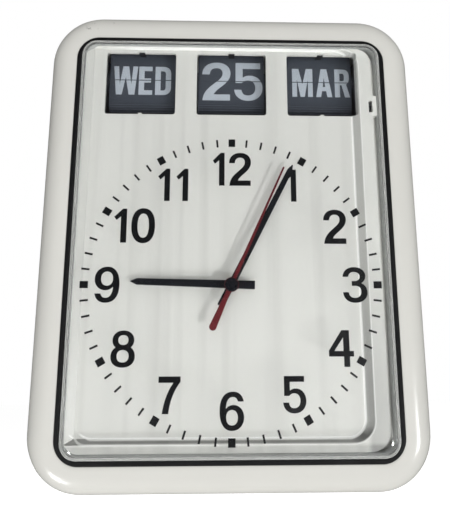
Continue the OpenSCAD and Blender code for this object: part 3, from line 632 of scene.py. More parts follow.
class Finishes:
    """Every finish of the clock, made once and handed out by slot."""

    RECIPES = {
        Slot.CASE: Moulded(
            "case gloss", paint(233, 232, 226), 0.2, 0.02, 0.0015, 700.0,
            scuffs=(((-124.0, 184.0, 74.0), 7.0), ((-103.0, 189.0, 75.0), 4.5))),
        Slot.TRAY: Stepped("tray satin", paint(222, 222, 217), 0.42, 0.025, 0.004, 1500.0,
                           specks=paint(190, 188, 182)),
        Slot.SEAL: Moulded("seal rubber", paint(14, 14, 16), 0.7, 0.2, 0.01, 1600.0,
                           specks=paint(90, 90, 88)),
        Slot.CLEAR: Clear("clear acrylic"),
        Slot.BLACK: Moulded("black plastic", paint(28, 28, 31), 0.4, 0.15, 0.006, 1200.0),
        Slot.STEEL: Metal("zinc plated steel", paint(196, 198, 200)),
        Slot.BRASS: Metal("turned brass", paint(206, 170, 92), 0.3),
        Slot.MOVEMENT: Moulded("movement plastic", paint(44, 45, 48), 0.38, 0.12, 0.006, 1000.0),
        Slot.HAND: Moulded("hand black", paint(19, 21, 27), 0.3, 0.12, 0.003, 1500.0,
                           specks=paint(60, 64, 72)),
        Slot.HAND_RED: Moulded("hand red", paint(100, 27, 33), 0.35, 0.1, 0.003, 1500.0),
        Slot.FLAP: Layered("flap film", paint(70, 75, 84), 0.36, 0.1, 0.004, 1300.0,
                           specks=paint(120, 124, 132)),
        Slot.GEAR: Moulded("gear plastic", paint(58, 61, 67), 0.4, 0.08, 0.004, 1100.0),
        Slot.CELL: Moulded("cell jacket", paint(60, 66, 84), 0.3, 0.1, 0.002, 900.0),
    }
    NUMERAL = Moulded("numeral ink", paint(9, 10, 14), 0.35, 0.08, 0.002, 1500.0)
    LETTER = Moulded("letter ink", paint(188, 196, 205), 0.4, 0.05, 0.003, 1300.0,
                     specks=paint(150, 158, 168))

    def __init__(self) -> None:
        """Makes the materials."""
        self.made = {slot: Coat(recipe.material(), slot) for slot, recipe in self.RECIPES.items()}
        self.numeral = Coat(self.NUMERAL.material(), Slot.HAND)
        self.letter = Coat(self.LETTER.material(), Slot.FLAP)

    def __getitem__(self, slot: Slot) -> Coat:
        """Coat of a slot."""
        return self.made[slot]


class Shape:
    """Meshes of the clock."""

    @staticmethod
    @contextmanager
    def opened(mesh: bpy.types.Mesh) -> Iterator[bmesh.types.BMesh]:
        """Opens a mesh for changes and writes them back.

        Args:
            mesh: The mesh.

        Yields:
            The open mesh.
        """
        work = bmesh.new()
        work.from_mesh(mesh)
        yield work
        work.to_mesh(mesh)
        work.free()

    @staticmethod
    def mesh(name: str, solid: Solid) -> bpy.types.Mesh:
        """Mesh of a solid.

        Args:
            name: Name of the mesh.
            solid: Points in clock millimetres, and faces.

        Returns:
            The mesh in the shared frame.
        """
        points, faces = solid
        made = bpy.data.meshes.new(name)
        every = list(chain.from_iterable(block.tolist() for block in faces))
        made.from_pydata(Space.to_row(points).tolist(), [], every)
        return made


@dataclass(frozen=True)
class Piece:
    """One piece: its name, the body that carries it, its coat and the width of its round edges.

    That width is in millimetres, 0 for none. MERGE and NODE_MERGE are in metres.
    """

    name: str
    body: str
    coat: Coat
    bevel: float = 0.0

    SMOOTH = math.radians(32.0)
    SMOOTH_BEVELLED = math.radians(50.0)
    BEVEL_FROM = math.radians(35.0)
    BEVEL_SEGMENTS = 2
    FACE_WEIGHT = 100
    MERGE = 1e-7
    NODE_MERGE = 1e-6
    FLAT = math.radians(0.5)

    def place(self, mesh: bpy.types.Mesh) -> bpy.types.Object:
        """Puts a mesh into the scene as this piece.

        Args:
            mesh: The mesh.

        Returns:
            The object, at the origin, riding on its body.
        """
        mesh.materials.clear()
        mesh.materials.append(self.coat.material)
        made = bpy.data.objects.new(self.name, mesh)
        bpy.context.scene.collection.objects.link(made)
        if self.bevel:
            rounding = made.modifiers.new("edges", "BEVEL")
            rounding.width = self.bevel / PER_METRE
            rounding.segments = self.BEVEL_SEGMENTS
            rounding.limit_method = "ANGLE"
            rounding.angle_limit = self.BEVEL_FROM
            flat = made.modifiers.new("flat faces", "WEIGHTED_NORMAL")
            flat.keep_sharp = True
            flat.weight = self.FACE_WEIGHT
        mesh.shade_smooth()
        mesh.set_sharp_from_angle(angle=self.SMOOTH_BEVELLED if self.bevel else self.SMOOTH)
        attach(made, self.body)
        LOG.info("%s: %d faces", self.name, len(mesh.polygons))
        return made

    def build(self, solid: Solid) -> bpy.types.Object:
        """Places a solid, with doubled points merged and all faces outwards.

        Args:
            solid: Points in clock millimetres, and faces.

        Returns:
            The object.
        """
        mesh = Shape.mesh(self.name, solid)
        with Shape.opened(mesh) as work:
            bmesh.ops.remove_doubles(work, verts=work.verts, dist=self.MERGE)
            bmesh.ops.recalc_face_normals(work, faces=work.faces)
        return self.place(mesh)

    def soften(self, frame: dict, node: str) -> None:
        """Places a copy of a node of the construction, for which it stands.

        Args:
            node: Name of the node.
        """
        mesh = frame["nodes"][node].data.copy()
        mesh.name = self.name
        with Shape.opened(mesh) as work:
            bmesh.ops.remove_doubles(work, verts=work.verts, dist=self.NODE_MERGE)
            bmesh.ops.dissolve_limit(work, angle_limit=self.FLAT, verts=work.verts,
                                     edges=work.edges)
        made = self.place(mesh)
        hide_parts(node)


class Loft:
    """Skin through rings that have the same count of points."""

    @staticmethod
    def faces(rings: int, count: int, closed: bool) -> Faces:
        """Faces of the skin: quads between neighbouring rings, and a cap at each open end.

        Args:
            rings: Number of rings.
            count: Points in each ring.
            closed: Whether the last ring joins the first one.

        Returns:
            Blocks of faces.
        """
        spans = rings if closed else rings - 1
        i, j = np.meshgrid(np.arange(spans), np.arange(count), indexing="ij")
        i2, j2 = (i + 1) % rings, (j + 1) % count
        quads = np.stack([i * count + j, i * count + j2, i2 * count + j2, i2 * count + j], axis=-1)
        ring = np.arange(count)
        caps = [] if closed else [np.stack([ring[::-1], ring + (rings - 1) * count])]
        return [quads.reshape(-1, 4), *caps]

    @staticmethod
    def arc(centre: tuple[float, float], radius: float, start: float, end: float,
            steps: int) -> list[tuple[float, float]]:
        """Points (inset, level) on a circle from start to end degrees."""
        turn = np.radians(np.linspace(start, end, steps + 1))
        return list(zip(centre[0] + radius * np.cos(turn), centre[1] + radius * np.sin(turn)))

    @classmethod
    def shell(cls, outline: Outline, section: Sequence[tuple[float, float]],
              closed: bool) -> Solid:
        """Carries a section round an outline.

        Args:
            outline: The outline at inset 0.
            section: Points (inset, level).
            closed: Whether the section is a loop; else both ends get a flat cap.

        Returns:
            Points and faces.
        """
        rings = [outline.inset(d).ring(z) for d, z in section]
        return np.concatenate(rings), cls.faces(len(rings), len(rings[0]), closed)

    @classmethod
    def turned(cls, section: Sequence[tuple[float, float]], steps: int = 48) -> Solid:
        """Turns a section round the z axis; both ends get a flat cap.

        A section point (r, z) gives (r cos a, r sin a, z) at each angle a of a full turn.

        Args:
            section: Points (radius, level).
            steps: Number of angles.

        Returns:
            Points and faces.
        """
        radius, level = np.array(section).T
        angle = np.linspace(0.0, 2 * math.pi, steps, endpoint=False)
        points = np.stack([radius[:, None] * np.cos(angle), radius[:, None] * np.sin(angle),
                           np.repeat(level[:, None], steps, axis=1)], axis=-1)
        return points.reshape(-1, 3), cls.faces(len(section), steps, False)


class Prism:
    """Flat figures with thickness."""

    @staticmethod
    def area(loop: Loop) -> float:
        """Signed area by the shoelace sum; positive when the loop runs anticlockwise."""
        x, y = loop.T
        return float(np.sum(x * np.roll(y, -1) - np.roll(x, -1) * y) / 2)

    @staticmethod
    def at_level(flat: Loop, level: float) -> np.ndarray:
        """Flat points as points at one level."""
        return np.column_stack([flat, np.full(len(flat), level)])

    @classmethod
    def build(cls, loops: Sequence[Loop], low: float, high: float) -> Solid:
        """Gives a figure with holes a thickness.

        The outer loop is turned anticlockwise and the holes clockwise. Both ends get the
        triangles of the figure and every side of a loop gets a quad.

        Args:
            loops: The outer loop first, then the holes.
            low: Lower level.
            high: Upper level.

        Returns:
            Points and faces of the closed solid.
        """
        turned = [loop if (cls.area(loop) > 0) == (k == 0) else loop[::-1]
                  for k, loop in enumerate(loops)]
        flat = np.concatenate(turned)
        count = len(flat)
        triangles = np.array(tessellate_polygon([cls.at_level(v, 0.0).tolist() for v in turned]))
        a, b, c = (flat[triangles[:, k]] for k in range(3))
        (x1, y1), (x2, y2) = (b - a).T, (c - a).T
        twist = x1 * y2 - x2 * y1
        top = np.where((twist > 0)[:, None], triangles, triangles[:, ::-1])
        faces, start = [top + count, top[:, ::-1]], 0
        for loop in turned:
            i = start + np.arange(len(loop))
            j = np.roll(i, -1)
            faces.append(np.stack([i, j, j + count, i + count], axis=-1))
            start += len(loop)
        return np.concatenate([cls.at_level(flat, z) for z in (low, high)]), faces

    @staticmethod
    def join(parts: Sequence[Solid]) -> Solid:
        """Puts several solids into one set of points and faces.

        Args:
            parts: The solids.

        Returns:
            Points and faces of them all, in their order.
        """
        faces, start = [], 0
        for points, own in parts:
            faces += [block + start for block in own]
            start += len(points)
        return np.concatenate([points for points, _ in parts]), faces


SIGNS = """
1: M19 0 L35.5 0 L35.5 100 L24 100 L0 76 L7 66 L19 77;
2: M1 0 C2 15 8 27 20 38 L33 50 C42 58 46 64 46 72 C46 81 41 86 32 86 C23 86 17 80 17 69 L0 69
C0 89 13 101 33 101 C52 101 64 89 64 72 C64 59 57 49 45 38 C36 30 29 24 26 16 L63 16 L63 0;
3: M0 29 C1 11 13 -1 33 -1 C54 -1 68 11 68 29 C68 41 62 50 52 55 C60 60 64 67 64 76
C64 91 51 101 32 101 C14 101 1 90 0 73 L16 73 C17 82 23 87 32 87 C41 87 48 82 48 74
C48 66 42 61 34 61 L25 61 L25 47 L35 47 C45 47 51 41 51 31 C51 20 44 13 33 13 C23 13 16 19 16 29;
4: M43 0 L43 28 L0 28 L0 44 L38 100 L60 100 L60 43 L72 43 L72 28 L60 28 L60 0 M42 43 L42 80 L16 43;
5: M0 28 C1 11 13 -1 32 -1 C54 -1 67 13 67 33 C67 53 54 66 37 66 C30 66 24 64 20 60 L20 84 L62 84
L62 100 L3 100 L3 46 L18 46 C22 51 27 53 33 53 C43 53 50 45 50 33 C50 21 43 13 32 13
C23 13 18 18 17 28;
6: M66 75 C64 91 53 101 37 101 C12 101 0 82 0 50 C0 16 14 -1 33 -1 C54 -1 67 14 67 34
C67 52 55 66 38 66 C29 66 22 62 17 56 C18 76 25 87 36 87 C44 87 48 83 50 75 M34 13
C24 13 18 21 18 34 C18 46 25 53 34 53 C43 53 50 46 50 33 C50 21 44 13 34 13;
7: M11 0 C15 32 26 62 41 83 L0 83 L0 100 L61 100 L61 85 C44 64 32 34 29 0;
8: M33 -1 C12 -1 0 11 0 29 C0 41 5 49 13 54 C7 59 4 66 4 74 C4 90 16 101 34 101 C52 101 64 90 64 74
C64 66 61 59 55 54 C62 49 67 41 67 29 C67 11 54 -1 33 -1 M34 88 C43 88 48 83 48 74
C48 66 43 61 34 61 C25 61 20 66 20 74 C20 83 25 88 34 88 M33 47 C43 47 50 41 50 30
C50 19 43 13 33 13 C23 13 17 19 17 30 C17 41 23 47 33 47;
9: M1 25 C3 9 14 -1 30 -1 C55 -1 67 18 67 50 C67 84 53 101 34 101 C13 101 0 86 0 66
C0 48 12 34 29 34 C38 34 45 38 50 44 C49 24 42 13 31 13 C23 13 19 17 17 25 M33 87 C43 87 49 79 49 66
C49 54 42 47 33 47 C24 47 17 54 17 67 C17 79 23 87 33 87;
0: M34.5 -1 C12 -1 0 19 0 50 C0 81 12 101 34.5 101 C57 101 69 81 69 50 C69 19 57 -1 34.5 -1 M34.5 15
C45 15 51 27 51 50 C51 73 45 85 34.5 85 C24 85 18 73 18 50 C18 27 24 15 34.5 15;
W: M10 0 L0 100 L17 100 L22 36 L32 100 L52 100 L62 36 L67 100 L84 100 L74 0 L54 0 L42 62 L30 0;
E: M0 0 L0 100 L44 100 L44 84 L18 84 L18 58 L40 58 L40 43 L18 43 L18 16 L45 16 L45 0;
D: M0 0 L0 100 L26 100 C44 100 53 90 53 72 L53 28 C53 10 44 0 26 0 M18 16 L26 16 C33 16 35 20 35 28
L35 72 C35 80 33 84 26 84 L18 84;
M: M0 0 L0 100 L23 100 L36.5 45 L50 100 L73 100 L73 0 L56 0 L56 62 L44 0 L29 0 L17 62 L17 0;
A: M0 0 L19 100 L40 100 L59 0 L41 0 L37 21 L22 21 L18 0 M25 36 L29.5 70 L34 36;
R: M0 0 L0 100 L27 100 C44 100 51 91 51 76 L51 70 C51 58 47 50 40 46 L53 0 L35 0 L24 43 L18 43 L18 0
M18 58 L26 58 C32 58 33.5 61 33.5 67 L33.5 76 C33.5 82 31 85 26 85 L18 85;
T: M18 0 L18 84 L0 84 L0 100 L52 100 L52 84 L35 84 L35 0;
H: M0 0 L0 100 L18 100 L18 58 L34 58 L34 100 L52 100 L52 0 L34 0 L34 42 L18 42 L18 0;
U: M0 100 L0 26 C0 8 9 -1 26 -1 C43 -1 52 8 52 26 L52 100 L34 100 L34 27 C34 19 32 15 26 15
C20 15 18 19 18 27 L18 100;
P: M0 0 L0 100 L27 100 C44 100 52 90 52 73 L52 67 C52 50 44 40 27 40 L18 40 L18 0 M18 56 L26 56
C32 56 34 60 34 67 L34 73 C34 80 32 84 26 84 L18 84;
"""


class Glyph:
    """Bold plain figures and narrow capitals, drawn on a height of 100.

    SIGNS has each sign, a colon and its outlines, the outer one first. M starts an outline, L is
    a straight line to a point, and C is a curve by two handles to a point.
    """

    STEPS = 10
    DRAWN = {sign: re.findall("M[^M]*", outlines)
             for sign, outlines in re.findall(r"(\w):([^;]*);", SIGNS)}

    @classmethod
    def trace(cls, drawing: str) -> Loop:
        """Turns one drawn outline into points.

        A cubic with ends p0, p3 and handles p1, p2 is p0(1-t)^3 + 3 p1 t(1-t)^2
        + 3 p2 t^2(1-t) + p3 t^3, sampled at equal steps of t.

        Args:
            drawing: The outline.

        Returns:
            The loop, without its first point at the end.
        """
        t = np.linspace(0.0, 1.0, cls.STEPS + 1)[1:, None]
        points = []
        for step in re.findall("[MLC][^MLC]*", drawing):
            run = np.array(step[1:].split(), dtype=float).reshape(-1, 2)
            if step[0] == "C":
                run = (points[-1][-1] * (1 - t) ** 3 + 3 * run[0] * t * (1 - t) ** 2
                       + 3 * run[1] * t ** 2 * (1 - t) + run[2] * t ** 3)
            points.append(run)
        loop = np.concatenate(points)
        return loop[:-1] if np.allclose(loop[0], loop[-1]) else loop

    @classmethod
    def solid(cls, sign: str, box: Sequence[float], level: Sequence[float]) -> Solid:
        """Solid of one sign, its own box stretched to the box given.

        Args:
            sign: The figure or capital.
            box: Left, right, lower and upper edge.
            level: Lower and upper level.

        Returns:
            Points and faces.
        """
        left, right, bottom, top = box
        loops = [cls.trace(drawing) for drawing in cls.DRAWN[sign]]
        lo, hi = loops[0].min(axis=0), loops[0].max(axis=0)
        scale = np.array([right - left, top - bottom]) / (hi - lo)
        return Prism.build([(loop - lo) * scale + [left, bottom] for loop in loops], *level)


@dataclass
class Assembly:
    frame: dict
    finishes: Finishes


@dataclass
class Housing(Assembly):
    """Case, rubber seal and crystal.

    The seal's foot lies under the bezel, from the crystal's flange up to seal_drop below the
    bezel, and its wall fills the way to the crystal but for a gap on each side. The crystal's
    wall leans in by crystal_lean at its rounded edge.
    """

    case: Outline = Outline.centred(322.7, 402.0, 45.75)
    opening: Outline = Outline.centred(269.2, 348.5, 19.0)
    clear: Outline = Outline.centred(262.4, 341.7, 15.6)
    rim: float = 2.0
    rim_cut: float = 0.5
    front: float = 75.0
    edge: float = 20.0
    wall: float = 3.0
    lip: float = 0.5
    seal_top: float = 75.8
    seal_foot: float = 2.6
    seal_drop: float = 3.4
    seal_gap: float = 0.03
    shoulder: float = 0.7
    flange: tuple[float, float] = (66.5, 69.0)
    flange_reach: float = 6.1
    fillet: float = 0.3
    crystal_front: float = 88.0
    crystal_wall: float = 2.5
    crystal_edge: float = 13.0
    crystal_lean: float = 1.5

    EDGE_STEPS = 14
    INNER_STEPS = 10
    LIP_STEPS = 4
    SEAL_STEPS = 5
    CRYSTAL_STEPS = 12
    CRYSTAL_INNER_STEPS = 8

    def build_case(self) -> None:
        """Case shell.

        The section runs up the outer side, round a quarter circle to the flat bezel, over a
        small quarter circle into the opening, and back along the inner side to the rim.
        """
        top, edge, wall, lip = self.front, self.edge, self.wall, self.lip
        middle = (top - edge) / 2
        outer = [(self.rim_cut, self.rim), (0.0, self.rim + self.rim_cut), (0.0, middle)]
        outer += Loft.arc((edge, top - edge), edge, 180.0, 90.0, self.EDGE_STEPS)
        hole = [(-lip, top)] + Loft.arc((-lip, top - lip), lip, 90.0, 0.0, self.LIP_STEPS)[1:]
        hole += [(0.0, top - wall)]
        inner = Loft.arc((edge, top - edge), edge - wall, 90.0, 180.0, self.INNER_STEPS)
        inner += [(wall, middle), (wall, self.rim)]
        shells = (self.case, outer), (self.opening, hole), (self.case, inner)
        rings = [outline.inset(d).ring(z) for outline, section in shells for d, z in section]
        solid = np.concatenate(rings), Loft.faces(len(rings), len(rings[0]), True)
        piece = Piece("case_shell", "case", self.finishes[Slot.CASE]).build(solid)
        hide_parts("front_case")

    def build_seal(self) -> None:
        """Seal: a foot under the bezel and a round-topped wall between bezel and crystal."""
        gap, r, steps = self.seal_gap, self.shoulder, self.SEAL_STEPS
        foot, level, under = self.flange[1] + gap, self.seal_top - r, self.front - self.seal_drop
        inner = self.clear.left - self.opening.left - gap
        section = [(-self.seal_foot, foot), (inner, foot), (inner, level)]
        section += Loft.arc((inner - r, level), r, 0.0, 90.0, steps)[1:]
        section += Loft.arc((gap + r, level), r, 90.0, 180.0, steps)
        section += [(gap, under), (-self.seal_foot, under)]
        solid = Loft.shell(self.opening, section, True)
        piece = Piece("seal_ring", "case", self.finishes[Slot.SEAL]).build(solid)
        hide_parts("crystal_gasket")

    def build_crystal(self) -> None:
        """Crystal: a clear box with a rounded front edge, even wall and a flange at its foot."""
        edge, wall, reach = self.crystal_edge, self.crystal_wall, self.flange_reach
        (low, high), centre = self.flange, (edge + self.crystal_lean, self.crystal_front - edge)
        section = Loft.arc(centre, edge - wall, 90.0, 180.0, self.CRYSTAL_INNER_STEPS)
        section += [(wall, low), (-reach, low), (-reach, high), (-self.fillet, high),
                    (0.0, high + self.fillet)]
        section += Loft.arc(centre, edge, 180.0, 90.0, self.CRYSTAL_STEPS)
        solid = Loft.shell(self.clear, section, False)
        piece = Piece("crystal_shell", "case", self.finishes[Slot.CLEAR]).build(solid)
        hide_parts("crystal")

    def build(self) -> None:
        """Builds the three pieces."""
        self.build_case()
        self.build_seal()
        self.build_crystal()


@dataclass
class DialPrint(Assembly):
    """Minute marks and numerals, printed on the inner face of the crystal.

    Marks are inner radius, outer radius and width. A numeral's sign has its left, right, lower
    and upper edge round the dial's centre, before the shrink.
    """

    level: tuple[float, float] = (85.43, 85.49)
    tick: Triple = (111.3, 117.7, 1.6)
    block: Triple = (111.3, 117.7, 5.5)
    shrink: float = 0.916
    numerals: tuple[tuple[str, float, float, float, float], ...] = (
        ("1", -17.0, -6.5, 86.0, 116.0), ("2", -2.5, 17.0, 86.0, 116.0),
        ("1", -65.0, -54.5, 72.0, 101.0), ("1", -49.0, -38.5, 72.0, 101.0),
        ("1", 46.7, 57.0, 72.0, 101.0),
        ("1", -102.0, -91.0, 35.5, 65.0), ("0", -87.0, -66.5, 35.0, 65.5),
        ("9", -116.0, -95.0, -15.0, 15.0), ("8", -100.0, -80.0, -67.0, -37.5),
        ("7", -60.0, -42.0, -103.0, -74.0), ("6", -10.0, 10.0, -116.0, -86.0),
        ("5", 42.0, 61.0, -103.0, -74.0), ("4", 81.0, 102.0, -67.0, -37.5),
        ("3", 95.0, 116.0, -15.0, 15.0), ("2", 80.0, 100.0, 35.0, 65.0),
    )

    def bars(self, size: Triple, angles: np.ndarray) -> Solid:
        """One bar turned to many angles round the dial's centre.

        Args:
            size: Inner radius, outer radius and width.
            angles: Degrees, anticlockwise from the top.

        Returns:
            Points and faces.
        """
        near, far, width = size
        left, right = -width / 2, width / 2
        bar = np.array([(left, near), (right, near), (right, far), (left, far)])
        points, faces = Prism.build([bar], *self.level)
        starts = len(points) * np.arange(len(angles))
        return Space.on_dial(points, angles), [block + k for k in starts for block in faces]

    def build(self) -> None:
        """Builds the marks and the numerals, which cast no shadow."""
        minutes = np.arange(MINUTES)
        between = minutes[minutes % (MINUTES // HOURS) != 0] * (FULL_TURN / MINUTES)
        hours = np.arange(HOURS) * (FULL_TURN / HOURS)
        marks = Prism.join([self.bars(self.tick, between), self.bars(self.block, hours)])
        centre = np.array([0.0, 0.0, Space.DIAL, Space.DIAL])
        signs = [Glyph.solid(sign, self.shrink * np.array(box) + centre, self.level)
                 for sign, *box in self.numerals]
        for name, solid in (("dial_marks", marks), ("dial_numerals", Prism.join(signs))):
            piece = Piece(name, "case", self.finishes.numeral).build(solid)
            piece.visible_shadow = False


@dataclass
class Hand(Assembly):
    """Roof-shaped hand with a pointed tip and a round hub with chamfered, slightly proud faces."""

    name: str
    body: str
    length: float
    width: float
    tip_width: float
    level: float
    angle: float
    tail: float = 19.0
    hub: float = 5.7
    thick: float = 0.8
    point: float = 5.0
    point_width: float = 0.7
    ridge: float = 0.45
    chamfer: float = 0.2
    proud: float = 0.05

    def build(self) -> None:
        """Builds the hand.

        Stations along the length carry a left edge, a ridge and a right edge; the ridge is the
        thickness above the bottom and both edges lie lower by the ridge height.
        """
        along = np.array([-self.tail, self.length - self.point, self.length])
        half = np.array([self.width, self.tip_width, self.point_width]) / 2
        low, high = self.level, self.level + self.thick
        side = np.array([-1, -1, 0, 1, 1])
        level = np.array([low, high - self.ridge, high, high - self.ridge, low])
        rail = np.stack(np.broadcast_arrays(half[:, None] * side, along[:, None], level), axis=-1)
        inner = self.hub - self.chamfer
        disc = Loft.turned([(inner, low - self.proud), (self.hub, low - self.proud + self.chamfer),
                            (self.hub, high - self.chamfer), (inner, high + self.proud)])
        blade = rail.reshape(-1, 3), Loft.faces(len(along), len(side), False)
        points, faces = Prism.join([blade, disc])
        solid = Space.on_dial(points, np.array([self.angle])), faces
        coat = self.finishes[Slot.HAND]
        piece = Piece(self.name + "_visible", self.body, coat).build(solid)
        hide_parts(self.name)


@dataclass
class Hands(Assembly):
    """The three hands and the black cap over the second hand's hub.

    A hand is its length, its widths at the tail and before the point, and its level. The cap is
    a section (radius, level). The time shown is in hours and in minutes.
    """

    hour: tuple[float, float, float, float] = (81.0, 6.8, 5.2, 74.9)
    minute: tuple[float, float, float, float] = (111.0, 5.8, 4.4, 77.4)
    hour_shown: float = 9.055
    minute_shown: float = 4.57
    second_bevel: float = 0.12
    cap: tuple[tuple[float, float], ...] = (
        (5.45, 79.65), (5.75, 79.95), (5.75, 80.6), (5.4, 80.9), (2.3, 80.95))

    def build(self) -> None:
        """Builds the hands."""
        for body, sizes, shown, marks in (("hour", self.hour, self.hour_shown, HOURS),
                                          ("minute", self.minute, self.minute_shown, MINUTES)):
            angle = -shown * (FULL_TURN / marks)
            Hand(self.frame, self.finishes, f"{body}_hand", body, *sizes, angle).build()
        red = Piece("second_hand_visible", "second", self.finishes[Slot.HAND_RED],
                    self.second_bevel)
        red.soften(self.frame, "second_hand")
        points, faces = Loft.turned(self.cap)
        cap = points + [0.0, Space.DIAL, 0.0], faces
        Piece("hand_cap", "second", self.finishes[Slot.HAND]).build(cap)


@dataclass
class CalendarUnit(Assembly):
    """One split-flap unit: its flaps and the lettering across their split.

    A word is a row of signs, each with its left and right edge. The letters reach from the lower
    to the upper of their two heights. The print is sunk a little into the film and rises by ink.
    The upper half of the next word lies on the flap pack behind, above the pack's foot.
    """

    name: str
    today: tuple[tuple[str, float, float], ...]
    next_day: tuple[tuple[str, float, float], ...]
    letters: tuple[float, float]
    width: float = 59.6
    height: float = 21.8
    thick: float = 0.25
    play: float = 0.05
    gap: float = 0.08
    cut: float = 0.38
    corner: float = 1.6
    ink: float = 0.03
    sink: float = 0.01
    pack_front: float = 61.15
    pack_foot: float = 143.6

    CORNER_STEPS = 6

    def flap(self, node: str, body: str, side: int) -> None:
        """Builds one flap with rounded outer corners, which stands for its node.

        Args:
            node: Name of the node after the unit's name.
            body: Body that carries it.
            side: 1 above the split, -1 below it.
        """
        half, r = self.width / 2, self.corner
        turn = np.radians(np.linspace(0.0, FULL_TURN / 4, self.CORNER_STEPS + 1))
        right = np.column_stack([half - r + r * np.cos(turn), self.height - r + r * np.sin(turn)])
        flat = np.concatenate([[[-half, self.gap], [half, self.gap]], right, right[::-1] * [-1, 1]])
        flat = flat * [1, side] + [Space.UNITS[self.name], Space.SPLIT]
        high = Space.FLAP - self.play
        solid = Prism.build([flat], high - self.thick, high)
        coat = self.finishes[Slot.FLAP]
        piece = Piece(f"{self.name}_{node}_visible", body, coat).build(solid)
        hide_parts(f"{self.name}_{node}")

    def half(self, name: str, signs: Sequence[tuple[str, float, float]], level: float, cut: float,
             above: bool, body: str, turned: bool) -> None:
        """Builds one half of a word.

        Args:
            name: Name of the piece after the unit's name.
            signs: Each sign with its left and right edge.
            level: Level of the film that carries the print.
            cut: Height of the cut.
            above: Whether the half above the cut is kept.
            body: Body that carries it.
            turned: Whether it is printed on the back of the falling flap, turned over with it.
        """
        points, faces = Prism.join([
            Glyph.solid(sign, (*sides, *self.letters), (level - self.sink, level + self.ink))
            for sign, *sides in signs])
        if turned:
            points = points * [1, -1, -1] + [0, 2 * Space.SPLIT, 2 * Space.FLAP]
            cut, above = 2 * Space.SPLIT - cut, not above
        name = f"{self.name}_{name}"
        mesh = Shape.mesh(name, (points, faces))
        with Shape.opened(mesh) as work:
            kept = bmesh.ops.bisect_plane(
                work, geom=work.verts[:] + work.edges[:] + work.faces[:], dist=Piece.MERGE,
                plane_co=(0.0, 0.0, cut / PER_METRE), plane_no=(0.0, 0.0, -1.0 if above else 1.0),
                clear_outer=True)
            rims = [edge for edge in kept["geom_cut"] if isinstance(edge, bmesh.types.BMEdge)]
            bmesh.ops.holes_fill(work, edges=rims)
            bmesh.ops.recalc_face_normals(work, faces=work.faces)
        Piece(name, body, self.finishes.letter).place(mesh)

    def build(self) -> None:
        """Builds the flaps and the four halves of lettering."""
        falling = f"{self.name}_flap"
        self.flap("upper_flap", falling, 1)
        self.flap("lower_flap", "case", -1)
        front, back = Space.FLAP - self.play, Space.FLAP + self.play + self.thick
        over, under = Space.SPLIT + self.cut, Space.SPLIT - self.cut
        self.half("word_upper", self.today, front, over, True, falling, False)
        self.half("word_lower", self.today, front, under, False, "case", False)
        self.half("next_lower", self.next_day, back, under, False, falling, True)
        self.half("next_upper", self.next_day, self.pack_front, self.pack_foot, True, "case", False)


@dataclass
class Calendar(Assembly):
    """The units: name, the words of today and of the next day, and the letters' two heights."""

    units: tuple[tuple, ...] = (
        ("day", (("W", -105.97, -84.32), ("E", -83.34, -71.04), ("D", -68.58, -54.32)),
         (("T", -104.0, -90.5), ("H", -88.0, -74.0), ("U", -71.0, -57.0)), (127.1, 154.1)),
        ("date", (("2", -26.28, -0.7), ("5", 2.74, 28.32)),
         (("2", -26.28, -0.7), ("6", 2.74, 28.32)), (122.6, 159.0)),
        ("month", (("M", 55.37, 74.06), ("A", 77.02, 91.77), ("R", 94.23, 108.01)),
         (("A", 55.8, 71.3), ("P", 74.0, 88.0), ("R", 91.0, 105.5)), (127.1, 154.1)),
    )

    def build(self) -> None:
        """Builds the three units."""
        for sizes in self.units:
            CalendarUnit(self.frame, self.finishes, *sizes).build()


@dataclass
class Dressing(Assembly):
    """Nodes of the construction that keep their shape: some get softened edges, some a finish.

    A softened node has its body, its slot and the width of its rounded edges in millimetres.
    """

    softened: dict[str, tuple[str, Slot, float]] = field(default_factory=lambda: {
        "dial_tray": ("case", Slot.TRAY, 0.8),
        "crystal_catch": ("case", Slot.BLACK, 0.2),
        "rear_cover": ("case", Slot.CASE, 0.4),
        "battery_cover": ("battery_door", Slot.CASE, 0.25),
        "hanger_plate": ("case", Slot.STEEL, 0.2),
        "time_knob": ("knob", Slot.BLACK, 0.2),
        "movement_housing": ("case", Slot.MOVEMENT, 0.3),
        "movement_nut": ("case", Slot.BRASS, 0.15),
        "push_bar": ("bar", Slot.STEEL, 0.1),
    })

    def build(self) -> None:
        """Dresses every node; a node's slot comes from the record."""
        for node, (body, slot, bevel) in self.softened.items():
            piece = Piece(node + "_visible", body, self.finishes[slot], bevel)
            piece.soften(self.frame, node)
        for part in self.frame["record"]["subparts"]:
            for place in self.frame["nodes"][part["node"]].material_slots:
                place.material = self.finishes[Slot(part["material_slot"])].material
            LOG.info("%s: %s", part["node"], part["material_slot"])


@dataclass(frozen=True)
class Lamp:
    """Square soft lamp: place and side in metres, power in watts, and whether it shows in gloss.

    Light reaches what lies behind the crystal by shadow rays, so a lamp is left out of the rays
    that the crystal bends, which would count it twice.
    """

    name: str
    place: Triple
    side: float
    power: float
    shines: bool = True
    aim: Triple = (0.0, -0.08, -0.02)

    def build(self) -> None:
        """Adds the lamp, turned to the point that it aims at."""
        data = bpy.data.lights.new(self.name, "AREA")
        data.size = self.side
        data.energy = self.power
        made = bpy.data.objects.new(self.name, data)
        made.location = self.place
        made.visible_transmission = False
        made.visible_glossy = self.shines
        x, y, z = np.array(self.place) - np.array(self.aim)
        made.rotation_euler = (math.atan2(math.hypot(x, y), z), 0.0, math.atan2(x, -y))
        bpy.context.scene.collection.objects.link(made)


